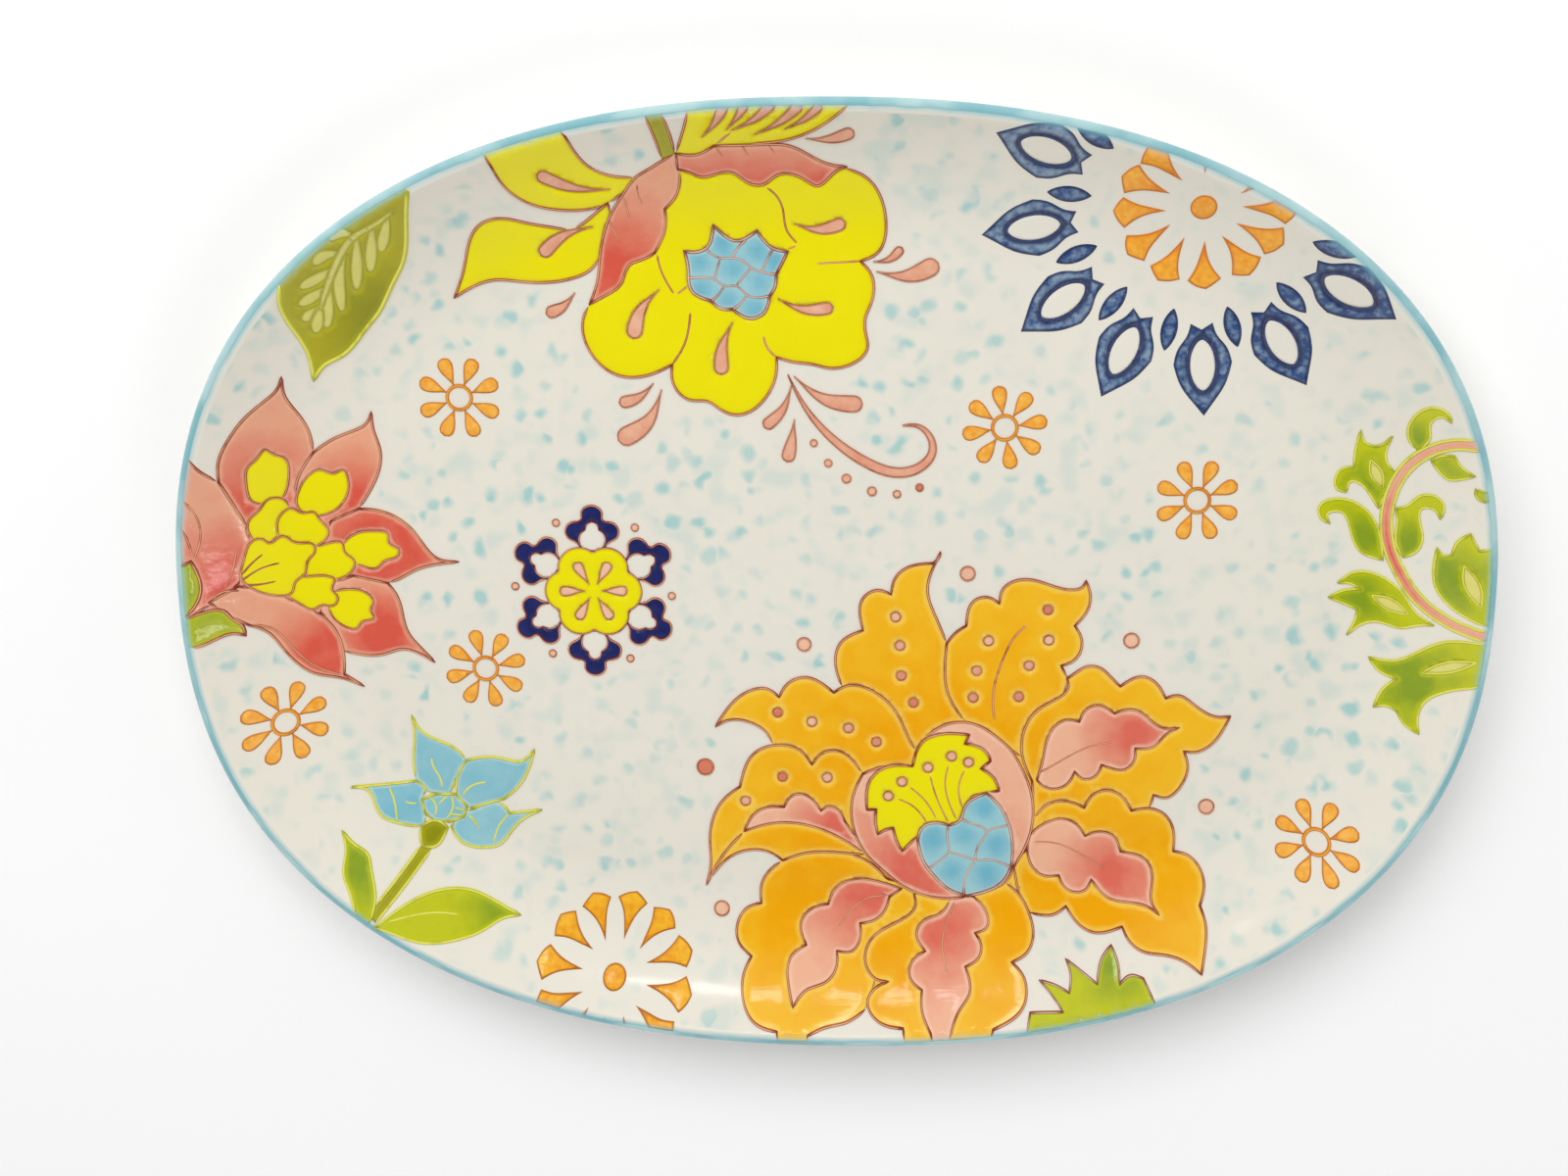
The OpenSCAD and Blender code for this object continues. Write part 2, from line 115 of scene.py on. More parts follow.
def ripple(x, y):
    """The slight unevenness of hand-pressed clay, under 0.1 mm."""
    return 0.05 * np.sin(x / 17 + 1.3) * np.cos(y / 14) + 0.03 * np.sin((x + 2 * y) / 11)


def dish_z(x, y):
    x, y = np.asarray(x, float), np.asarray(y, float)
    d = inset(x, y)
    return wall_z(d) + ripple(x, y) * np.clip((d - WALL_D) / 3, 0, 1)


def wiped(x, y):
    """How much of the rim's turquoise has run inwards over the surface, from 0 to 1."""
    return np.clip(1 - (inset(np.asarray(x, float), np.asarray(y, float)) - CUT_D) / WIPE_W, 0, 1)


def oval(d, count):
    a = np.linspace(0, 2 * math.pi, count, endpoint=False)
    c, s, e = np.cos(a), np.sin(a), 2 / SQUARENESS
    x = (HALF_L - d) * np.sign(c) * np.abs(c) ** e
    y = (HALF_W - d) * np.sign(s) * np.abs(s) ** e
    return x, y


# ---------------------------------------------------------------- curves


def spans(points, step):
    """Natural cubic spline through the points: one array per span, about every step mm."""
    p = np.array(points, float)
    h = np.linalg.norm(np.diff(p, axis=0), axis=1)
    n = len(p)
    a, b = np.eye(n), np.zeros((n, 2))
    for i in range(1, n - 1):
        a[i, i - 1:i + 2] = h[i - 1], 2 * (h[i - 1] + h[i]), h[i]
        b[i] = 6 * ((p[i + 1] - p[i]) / h[i] - (p[i] - p[i - 1]) / h[i - 1])
    m = np.linalg.solve(a, b)
    out = []
    for i in range(n - 1):
        t = np.linspace(0, h[i], max(1, round(h[i] / step)), endpoint=False)[:, None]
        r = h[i] - t
        out.append(
            m[i] * r ** 3 / (6 * h[i]) + m[i + 1] * t ** 3 / (6 * h[i])
            + (p[i] / h[i] - m[i] * h[i] / 6) * r + (p[i + 1] / h[i] - m[i + 1] * h[i] / 6) * t
        )
    return out


def spline(points, step=1.0):
    return np.vstack([*spans(points, step), np.array(points[-1:], float)])


class Outline:
    """A closed outline, with the corners where its smooth runs meet."""

    def __init__(self, points, corners=()):
        self.points = np.array(points, float)
        self.corners = [np.array(c, float) for c in corners]
        x, y = self.points.T
        if np.sum(x * np.roll(y, -1) - np.roll(x, -1) * y) < 0:
            self.points = self.points[::-1].copy()

    def contains(self, q):
        x, y = self.points.T
        x2, y2 = np.roll(x, -1), np.roll(y, -1)
        qx, qy = q[:, 0:1], q[:, 1:2]
        span = (y > qy) != (y2 > qy)
        with np.errstate(divide="ignore", invalid="ignore"):
            cross = qx < (x2 - x) * (qy - y) / (y2 - y) + x
        return np.sum(span & cross, axis=1) % 2 == 1


def shape(start, *runs, step=1.0):
    """Closed outline. Each run goes on from the one before, and the last one goes back to the start.

    A run is a list of points on a smooth curve, or the one point at the end of a straight line. An empty last
    run is a straight line too.
    """
    *first, final = [run if isinstance(run, list) else [run] for run in runs]
    out, last = [], start
    for run in [*first, [*final, start]]:
        out.append(spline([last, *run], step)[:-1])
        last = run[-1]
    return Outline(np.vstack(out), [start, *(run[-1] for run in first)])


def smooth_loop(*points, step=1.0):
    """Closed outline with no corners."""
    p = list(points)
    return Outline(np.vstack(spans(p[-3:] + p + p[:4], step)[3:3 + len(p)]))


def left_of(t):
    """Unit vectors to the left of the directions t."""
    return np.stack([-t[:, 1], t[:, 0]], 1) / np.maximum(np.linalg.norm(t, axis=1), 1e-6)[:, None]


def ribbon(path, width, step=1.0):
    """Outline round a path, with width(u) giving its full width at u from 0 to 1."""
    p = spline(path, step)
    half = np.array([width(u) for u in np.linspace(0, 1, len(p))])[:, None] / 2
    side = left_of(np.gradient(p, axis=0))
    return Outline(np.vstack([p + side * half, (p - side * half)[::-1]]))


def drop(head, tip, radius, bow=0.0):
    """A teardrop: a round head that runs out to a fine tip, bent sideways by bow."""
    a, b = np.array(tip, float), np.array(head, float)
    v = b - a
    long = np.linalg.norm(v)
    b = b + v / long * radius
    mid = (a + b) / 2 + np.array([-v[1], v[0]]) / long * bow
    fat = 1 - radius / (long + radius)

    def width(u):
        if u > fat:
            return 2 * radius * math.sqrt(max(0.0, 1 - ((u - fat) / (1 - fat)) ** 2)) + 0.02
        return 2 * radius * math.sin(math.pi / 2 * u / fat) ** 1.7 + 0.05

    return ribbon([a, mid, b], width, 0.5)


def around(centre, radius, turns):
    """Points round a centre at the turns, which are in radians. The radius may vary from turn to turn."""
    return np.stack([centre[0] + radius * np.cos(turns), centre[1] + radius * np.sin(turns)], 1)


def disc(centre, radius, count=20):
    return Outline(around(centre, radius, np.linspace(0, 2 * math.pi, count, endpoint=False)))


def local(centre, angle, points):
    """Points given as (out, sideways) about a centre, turned to an angle in degrees."""
    a = math.radians(angle)
    c, s = math.cos(a), math.sin(a)
    return [(centre[0] + r * c - v * s, centre[1] + r * s + v * c) for r, v in points]


def turned(centre, angle, start, *runs):
    """The shape of runs of (out, sideways) points about a centre."""
    return shape(local(centre, angle, [start])[0], *(local(centre, angle, run) for run in runs), step=0.8)


def mirrored(run):
    """The way back along a run of (out, sideways) points, on the other side."""
    return [(r, -v) for r, v in run[-2::-1]]


# ---------------------------------------------------------------- materials


def linear(r, g, b):
    """An sRGB colour of 0 to 255 as the linear RGBA that a shader takes."""
    return *(v / 255 / 12.92 if v <= 10 else ((v / 255 + 0.055) / 1.055) ** 2.4 for v in (r, g, b)), 1.0


class Shader:
    """A small helper that adds nodes to one material."""

    def __init__(self, name, roughness=0.12):
        self.material = bpy.data.materials.new(name)
        self.material.use_nodes = True
        self.tree = self.material.node_tree
        self.bsdf = self.tree.nodes["Principled BSDF"]
        self.bsdf.inputs["Roughness"].default_value = roughness
        self.bsdf.inputs["IOR"].default_value = 1.5

    def put(self, socket, value):
        if isinstance(value, bpy.types.NodeSocket):
            self.tree.links.new(value, socket)
        else:
            socket.default_value = value

    def node(self, kind, **inputs):
        n = self.tree.nodes.new("ShaderNode" + kind)
        for key, value in inputs.items():
            self.put(n.inputs[key.replace("_", " ")], value)
        return n

    def attribute(self, name):
        n = self.node("Attribute")
        n.attribute_name = name
        return n.outputs["Fac"]

    def where(self):
        return self.node("TexCoord").outputs["Object"]

    def noise(self, size_mm, detail=3.0, stretch=(1, 1, 1), offset=(0, 0, 0)):
        at = self.node("Mapping", Vector=self.where(), Scale=stretch, Location=offset).outputs[0]
        n = self.node("TexNoise", Vector=at, Scale=1 / (size_mm * MM), Detail=detail, Roughness=0.55)
        return n.outputs["Fac"]

    def math(self, op, a, b, clamp=False):
        n = self.node("Math")
        n.operation, n.use_clamp = op, clamp
        self.put(n.inputs[0], a)
        self.put(n.inputs[1], b)
        return n.outputs[0]

    def plus(self, a, b, clamp=False):
        return self.math("ADD", a, b, clamp)

    def times(self, a, b):
        return self.math("MULTIPLY", a, b)

    def wander(self, size_mm, amount, detail=3.0):
        """Noise that swings about zero."""
        return self.times(self.math("SUBTRACT", self.noise(size_mm, detail), 0.5), amount)

    def ramp(self, value, low, high, to_low=0.0, to_high=1.0):
        n = self.node("MapRange", Value=value, From_Min=low, From_Max=high, To_Min=to_low, To_Max=to_high)
        n.interpolation_type = "SMOOTHSTEP"
        return n.outputs["Result"]

    def mix(self, factor, a, b):
        """Blends two colours, each of them a socket or an sRGB triple."""
        n = self.node("Mix")
        n.data_type = "RGBA"
        for key, value in (("Factor", factor), ("A", a), ("B", b)):
            self.put(n.inputs[key], linear(*value) if isinstance(value, tuple) else value)
        return n.outputs["Result"]

    def colour(self, value):
        self.put(self.bsdf.inputs["Base Color"], value)

    def bump(self, height, strength, distance_mm):
        n = self.node("Bump", Height=height, Strength=strength, Distance=distance_mm * MM)
        self.put(self.bsdf.inputs["Normal"], n.outputs[0])


TURQUOISE = (128, 184, 194)
IVORY = (230, 226, 213)


def glaze(name, pale, deep, edge, edge_mm, edge_amount, blotch_mm, depth):
    """A pool of coloured glaze: tone runs from pale to deep, and the colour changes near its edge."""
    s = Shader(name)
    colour = s.mix(s.plus(s.attribute("tone"), s.wander(blotch_mm, 2 * depth), clamp=True), pale, deep)
    off_edge = s.plus(s.attribute("edge"), s.wander(4.0, edge_mm, 2.0))
    colour = s.mix(s.ramp(off_edge, 0.3 * edge_mm, 1.5 * edge_mm, edge_amount, 0.0), colour, edge)
    s.colour(s.mix(s.times(s.attribute("wipe"), 0.7), colour, TURQUOISE))
    s.bump(s.plus(s.noise(7.0, 2.0), s.times(s.noise(2.6, 2.0, stretch=(0.2, 1, 1)), 0.45)), 0.3, 0.3)
    return s.material


def slip(name, crest, side, ink):
    """A raised line: pale on its crest, with pigment caught along both sides and in the corners."""
    s = Shader(name)
    across = s.plus(s.attribute("across"), s.wander(6.0, 0.3, 1.0))
    caught = s.times(s.ramp(across, 0.15, 0.5), s.ramp(s.noise(14.0, 2.0), 0.3, 0.5, 0.6, 1.0))
    dark = s.plus(s.attribute("ink"), s.ramp(s.noise(6.0), 0.55, 0.7, 0.0, 0.5), clamp=True)
    s.colour(s.mix(dark, s.mix(caught, crest, side), ink))
    return s.material


def sponged(s, cell_mm, offset):
    """One layer of soft dabs: a warped cell pattern whose spots are bitten into crescents."""
    warp = s.node("TexNoise", Vector=s.where(), Scale=1 / (7 * MM), Detail=1.0)
    shift = s.node("VectorMath")
    shift.operation = "MULTIPLY_ADD"
    for socket, value in zip(shift.inputs, (warp.outputs["Color"], (0.005, 0.005, 0.0), s.where())):
        s.put(socket, value)
    moved = s.node("Mapping", Vector=shift.outputs[0], Location=(offset, 2 * offset, 0))
    cells = s.node("TexVoronoi", Vector=moved.outputs[0], Scale=1 / (cell_mm * MM))
    cells.voronoi_dimensions = "2D"
    parts = s.node("SeparateColor", Color=cells.outputs["Color"])
    size = s.times(parts.outputs["Red"], 0.09)
    spot = s.ramp(s.math("SUBTRACT", cells.outputs["Distance"], size), 0.0, 0.25, 1.0, 0.0)
    bitten = s.ramp(s.noise(6.5, 0.0, offset=(offset, 0.2, 0.0)), 0.3, 0.52)
    return s.times(s.times(spot, bitten), s.ramp(parts.outputs["Green"], 0.0, 0.75, 0.1, 0.85))


def ivory_glaze():
    """The clear glaze on pale clay, sponged with soft turquoise dabs that keep off the flowers."""
    s = Shader("ivory_glaze")
    dabs = s.plus(sponged(s, 10.0, 0.31), sponged(s, 11.5, 0.77), clamp=True)
    dabs = s.times(dabs, s.ramp(s.noise(55.0, 1.0), 0.35, 0.6, 0.55, 1.15))
    wash = s.ramp(s.noise(10.0, 1.0, offset=(0.3, 0.1, 0.0)), 0.5, 0.75, 0.0, 0.3)
    dabs = s.times(s.math("MAXIMUM", dabs, wash), s.attribute("field"))
    colour = s.mix(dabs, s.mix(s.noise(28.0), IVORY, (225, 221, 208)), (166, 203, 200))
    specks = s.node("TexVoronoi", Vector=s.where(), Scale=1 / (17 * MM))
    pick = s.node("SeparateColor", Color=specks.outputs["Color"])
    near = s.ramp(specks.outputs["Distance"], 0.012, 0.022, 1.0, 0.0)
    colour = s.mix(s.times(near, s.ramp(pick.outputs["Red"], 0.88, 0.9, 0.0, 0.6)), colour, (120, 105, 85))
    run = s.times(s.attribute("wipe"), s.ramp(s.noise(13.0, 2.0), 0.3, 0.7, 0.6, 1.0))
    s.colour(s.mix(run, colour, TURQUOISE))
    s.bump(s.noise(16.0, 2.0), 0.3, 0.5)
    return s.material


def bare_clay():
    s = Shader("bare_clay", roughness=0.75)
    tint = s.mix(s.ramp(s.noise(4.0), 0.35, 0.7), (226, 211, 186), (206, 188, 160))
    s.colour(s.mix(s.times(s.ramp(s.noise(0.7, 2.0), 0.62, 0.7), 0.5), tint, (170, 145, 115)))
    s.bump(s.noise(0.5, 4.0), 0.6, 0.12)
    return s.material


def rim_glaze():
    """Turquoise wiped round the lip: strongest on the crest, fading to ivory on the outside."""
    s = Shader("rim_glaze")
    cover = s.ramp(s.plus(s.attribute("band"), s.wander(11.0, 0.5)), 0.15, 0.7)
    tint = s.mix(s.ramp(s.noise(26.0), 0.35, 0.65), (126, 178, 186), (172, 205, 205))
    s.colour(s.mix(cover, IVORY, tint))
    return s.material


# pale, deep and edge colour, then width and strength of the edge, and size and depth of the blotches
GLAZES = {
    "lemon": ((236, 226, 8), (230, 216, 2), (214, 196, 10), 0.8, 0.45, 9.0, 0.3),
    "coral": ((228, 162, 130), (214, 88, 70), (238, 186, 158), 1.2, 0.6, 7.0, 0.3),
    "blush": ((234, 178, 146), (218, 106, 88), (242, 200, 172), 1.4, 0.75, 7.0, 0.3),
    "amber": ((240, 184, 34), (237, 164, 0), (243, 208, 90), 1.6, 0.7, 9.0, 0.8),
    "blue": ((158, 202, 208), (112, 178, 198), (190, 216, 212), 1.0, 0.8, 7.0, 0.5),
    "lime": ((188, 192, 16), (132, 156, 28), (190, 200, 22), 1.2, 0.6, 7.0, 0.5),
    "olive": ((172, 165, 14), (136, 136, 14), (180, 176, 40), 1.4, 0.5, 8.0, 0.4),
    "navy": ((38, 46, 108), (22, 26, 76), (60, 84, 140), 0.5, 0.3, 3.0, 0.8),
    "ink": ((72, 86, 122), (38, 48, 88), (40, 50, 92), 0.5, 0.3, 2.0, 1.2),
    "slate": ((132, 153, 174), (48, 76, 126), (30, 44, 86), 0.9, 0.9, 2.4, 1.6),
    "flare": ((246, 178, 60), (232, 142, 22), (206, 106, 8), 0.6, 0.85, 2.0, 1.2),
    "gold": ((243, 184, 48), (226, 138, 14), (178, 98, 6), 0.55, 0.9, 2.0, 1.0),
    "daisy": ((246, 188, 86), (230, 144, 30), (196, 108, 14), 0.5, 0.85, 2.4, 1.0),
    "salmon": ((236, 190, 160), (212, 124, 96), (196, 118, 88), 0.4, 0.35, 4.0, 0.5),
    "vein": ((220, 214, 122), (202, 198, 86), (160, 158, 44), 0.5, 0.7, 3.0, 0.5),
}
# crest, side and ink
SLIPS = {
    "brown_slip": ((224, 166, 124), (150, 58, 36), (130, 30, 18)),
    "rose_slip": ((214, 188, 172), (150, 90, 74), (128, 58, 44)),
    "lime_slip": ((226, 222, 112), (204, 202, 50), (164, 166, 20)),
    "amber_slip": ((236, 166, 40), (208, 118, 8), (190, 96, 6)),
}
MATERIALS = {
    **{name: glaze(name + "_glaze", *row) for name, row in GLAZES.items()},
    **{name: slip(name, *row) for name, row in SLIPS.items()},
    "ivory": ivory_glaze(), "clay": bare_clay(), "rim": rim_glaze(),
}

# ---------------------------------------------------------------- mesh building


def build_mesh(name, verts, faces, material, slot, node, values):
    """One piece from vertices in mm, with point attributes, riding on the root body."""
    mesh = bpy.data.meshes.new(name)
    mesh.from_pydata((verts * MM).tolist(), [], faces)
    mesh.validate()
    mesh.update()
    for key, data in values.items():
        mesh.attributes.new(key, "FLOAT", "POINT").data.foreach_set("value", data.astype(np.float32))
    mesh.polygons.foreach_set("use_smooth", [True] * len(mesh.polygons))
    mesh.materials.append(MATERIALS[material])
    obj = bpy.data.objects.new(name, mesh)
    bpy.context.scene.collection.objects.link(obj)
    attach(obj, "root")
    if node:
        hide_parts(node)


class Solids:
    """Closed solids gathered into one piece."""

    def __init__(self):
        self.verts, self.faces, self.values, self.count = [], [], defaultdict(list), 0

    def add(self, verts, faces, **values):
        self.verts.append(verts)
        self.faces += [tuple(i + self.count for i in f) for f in faces]
        for key, data in values.items():
            self.values[key].append(data)
        self.count += len(verts)

    def piece(self, name, *finish):
        values = {k: np.concatenate(v) for k, v in self.values.items()}
        build_mesh(name, np.vstack(self.verts), self.faces, *finish, values)


def distance_to_edges(q, a, b):
    """Distance from each point of q to the nearest of the segments a to b."""
    out = np.empty(len(q))
    ab = b - a
    long = np.maximum((ab ** 2).sum(1), 1e-9)
    batch = 512
    for i in range(0, len(q), batch):
        d = q[i:i + batch, None] - a[None]
        t = np.clip((d * ab).sum(2) / long, 0, 1)
        out[i:i + batch] = np.sqrt(((d - ab * t[..., None]) ** 2).sum(2)).min(1)
    return out


BRIM = 0.35  # a pool's height at its edge, as a share of its full height
SHOULDER = 1.3  # mm in from the edge over which it rises
SUNK = 0.12  # mm that pools and lines reach down into the dish's surface


def pool_solid(into, points, triangles, height, tone):
    """A closed, softly domed pool over one region of the plan."""
    used = np.unique(triangles)
    index = np.full(len(points), -1)
    index[used] = np.arange(len(used))
    p, t = points[used], index[triangles]
    count = len(p)
    edges = dict.fromkeys(e for a, b, c in t for e in ((a, b), (b, c), (c, a)))
    rim = [e for e in edges if e[::-1] not in edges]
    ends = np.array(rim)
    edge = distance_to_edges(p, p[ends[:, 0]], p[ends[:, 1]])
    dome = height * (BRIM + (1 - BRIM) * (1 - np.exp(-((edge / SHOULDER) ** 2))))
    z = dish_z(p[:, 0], p[:, 1])
    top = np.column_stack([p, z + dome])
    low = np.column_stack([p, z - SUNK])
    faces = [tuple(f) for f in t.tolist()]
    faces += [(c + count, b + count, a + count) for a, b, c in t.tolist()]
    faces += [(b, a, a + count, b + count) for a, b in rim]
    shade = np.array([tone(q) for q in p]) if callable(tone) else np.full(count, float(tone))
    values = {"edge": edge, "tone": shade, "wipe": wiped(p[:, 0], p[:, 1])}
    into.add(np.vstack([top, low]), faces, **{k: np.tile(v, 2) for k, v in values.items()})


SECTION = np.linspace(-1, 1, 9)  # places across a line, from its right side to its left
FIRED = 0.85  # a slip line is drawn at its wet width and shrinks to this share of it in the kiln
TAPER = 2.2  # mm of an open line's end that grow thinner


def ridge_solid(into, path, closed, width, height, ink):
    """A half-round raised line along a path, with fine ends where it is open."""
    n = len(path)
    size = np.ones(n)
    if closed:
        side = left_of(np.roll(path, -1, 0) - np.roll(path, 1, 0))
    else:
        side = left_of(np.gradient(path, axis=0))
        run = np.concatenate([[0], np.cumsum(np.linalg.norm(np.diff(path, axis=0), axis=1))])
        size *= np.clip(0.25 + run / TAPER, 0, 1)
        size *= np.clip(0.25 + (run[-1] - run) / TAPER, 0, 1)
    half = width / 2 * FIRED * size
    xy = path[:, None] + side[:, None] * (SECTION[None, :] * half[:, None])[..., None]
    z = dish_z(xy[..., 0], xy[..., 1])
    rise = height * np.minimum(size * 1.3, 1)[:, None] * np.sqrt(np.maximum(0, 1 - SECTION ** 2))[None]
    top = np.concatenate([xy, (z + 0.02 + rise)[..., None]], 2)
    low = np.concatenate([xy[:, [-1, 0]], (z[:, [-1, 0]] - SUNK)[..., None]], 2)
    rows = np.concatenate([top, low], 1)
    m = len(SECTION) + 2
    faces = []
    for i in range(n if closed else n - 1):
        a, b = i * m, (i + 1) % n * m
        faces += [(a + j, b + j, b + (j + 1) % m, a + (j + 1) % m) for j in range(m)]
    if not closed:
        faces += [tuple(range(m)), tuple((n - 1) * m + j for j in range(m - 1, -1, -1))]
    across = np.tile(np.concatenate([np.abs(SECTION), [1, 1]]), n)
    into.add(rows.reshape(-1, 3), faces, across=across, ink=np.repeat(ink, m))


# ---------------------------------------------------------------- painting a motif

RIM_COUNT = 400
RIM_CUT = Outline(np.stack(oval(CUT_D, RIM_COUNT), 1))
RIM_ROWS = (0.45, 0.9, 1.5, 2.3)  # rows of inner points, in mm from the rim cut
EDGE_ROWS = (0.6, 1.5)  # and from the outlines
CLEARANCE = 0.42  # no other inner point is nearer to an outline
SPACING = 0.7  # and of those closer together than this, one stays
LINE_STEP = 0.8
LINE_HEIGHT = 0.55
CORNER = 1.6  # mm round a corner that catch pigment
PIECES = defaultdict(Solids)
DRAWN = []  # the points of all outlines and lines, which the sponged dabs keep away from
Patch = namedtuple("Patch", "piece outline tone height line width")
Line = namedtuple("Line", "piece path width ink")


def visible_runs(path, closed, above, gap):
    """Stretches of a path that no later patch covers and that the rim doesn't cut off."""
    seen = RIM_CUT.contains(path)
    for o in above:
        seen &= ~o.contains(path)
        seen &= distance_to_edges(path, o.points, np.roll(o.points, -1, 0)) > gap
    if closed and seen.all():
        return [(path, True)]
    order = np.arange(len(path))
    if closed:
        order = np.roll(order, -int(np.argmin(seen)))
    runs = np.split(order, np.flatnonzero(np.diff(seen[order])) + 1)
    return [(path[r], False) for r in runs if len(r) > 2 and seen[r[0]]]


def add_ridge(piece, path, closed, width, height, above, corners=(), base_ink=0.0):
    for run, loop in visible_runs(path, closed, above, width * 0.35):
        ink = np.full(len(run), base_ink)
        for c in corners:
            ink = np.maximum(ink, np.exp(-((np.linalg.norm(run - c, axis=1) / CORNER) ** 2)))
        ridge_solid(PIECES[piece], run, loop, width, height, ink)


class Motif:
    """Patches of glaze and slip lines in the order in which they are laid.

    Pieces are named after the family and the part, and lines after the motif.
    """

    def __init__(self, family, name, width=1.05):
        self.family, self.name, self.width, self.items = family, name, width, []

    def patch(self, part, tone, outline, width=None, line="lines", height=0.45):
        """A region of one glaze. A slip line of this width goes round it, unless the width is 0."""
        piece = "_".join(filter(None, (self.family, part, "glaze")))
        width = self.width if width is None else width
        self.items.append(Patch(piece, outline, tone, height, f"{self.name}_{line}", width))

    def area(self, part, tone, *runs, **options):
        """A patch whose outline is shape(*runs)."""
        self.patch(part, tone, shape(*runs), **options)

    def drops(self, tone, *drops, **options):
        for d in drops:
            self.patch("drop", tone, drop(*d), **options)

    def strokes(self, width, *paths, line="lines", ink=0.0):
        """Slip lines on their own."""
        self.items += [Line(f"{self.name}_{line}", spline(p, LINE_STEP), width, ink) for p in paths]

    def paint(self, grid=1.9):
        """Lays what was added. Later patches cover earlier ones, and lines follow the edges that show."""
        items, self.items = self.items, []
        patches = [i for i in items if isinstance(i, Patch)]
        loops = [p.outline.points for p in patches]
        a, b = np.vstack(loops), np.vstack([np.roll(o, -1, 0) for o in loops])
        inner = [o + left_of(np.roll(o, -1, 0) - np.roll(o, 1, 0)) * d for o in loops for d in EDGE_ROWS]
        gx, gy = np.meshgrid(*(np.arange(low, high, grid) for low, high in zip(a.min(0), a.max(0))))
        inner.append(np.stack([gx.ravel(), gy.ravel()], 1))
        inner += [np.stack(oval(CUT_D + d, RIM_COUNT), 1) for d in RIM_ROWS]
        inner = np.vstack(inner)
        inner = inner[np.any([p.outline.contains(inner) for p in patches], axis=0)]
        inner = inner[distance_to_edges(inner, a, b) > CLEARANCE]
        inner = inner[np.unique(np.round(inner / SPACING), axis=0, return_index=True)[1]]
        loops.insert(0, RIM_CUT.points)
        ends = np.cumsum([0, *map(len, loops)])
        faces = [list(range(i, j)) for i, j in zip(ends, ends[1:])]
        flat = [Vector(p) for p in np.vstack([*loops, inner])]
        verts, _, tris, _, _, owners = delaunay_2d_cdt(flat, [], faces, 1, 1e-4)
        plan = np.array([v[:] for v in verts])
        groups = defaultdict(list)
        for tri, owner in zip(tris, owners):
            if 0 in owner and len(owner) > 1:
                groups[max(owner)].append(tri)
        for k, group in sorted(groups.items()):
            patch = patches[k - 1]
            pool_solid(PIECES[patch.piece], plan, np.array(group), patch.height, patch.tone)
        for n, item in enumerate(items):
            above = [i.outline for i in items[n + 1:] if isinstance(i, Patch)]
            if isinstance(item, Line):
                add_ridge(item.piece, item.path, False, item.width, LINE_HEIGHT, above, base_ink=item.ink)
            elif item.width:
                o = item.outline
                add_ridge(item.line, o.points, True, item.width, 0.25 + 0.35 * item.width, above, o.corners)
            DRAWN.append(item.path if isinstance(item, Line) else item.outline.points)


def toward(centre, near, far):
    """Tone that is deep within near of a centre and pale beyond far."""
    return lambda q: float(np.clip((far - math.dist(q, centre)) / (far - near), 0, 1))


def pooled(reach, *centres):
    """Tone that is deepest at each of several centres."""
    c = np.array(centres)
    return lambda q: float(np.exp(-((np.hypot(*(c - q).T) / reach) ** 2)).max())


# ---------------------------------------------------------------- motifs


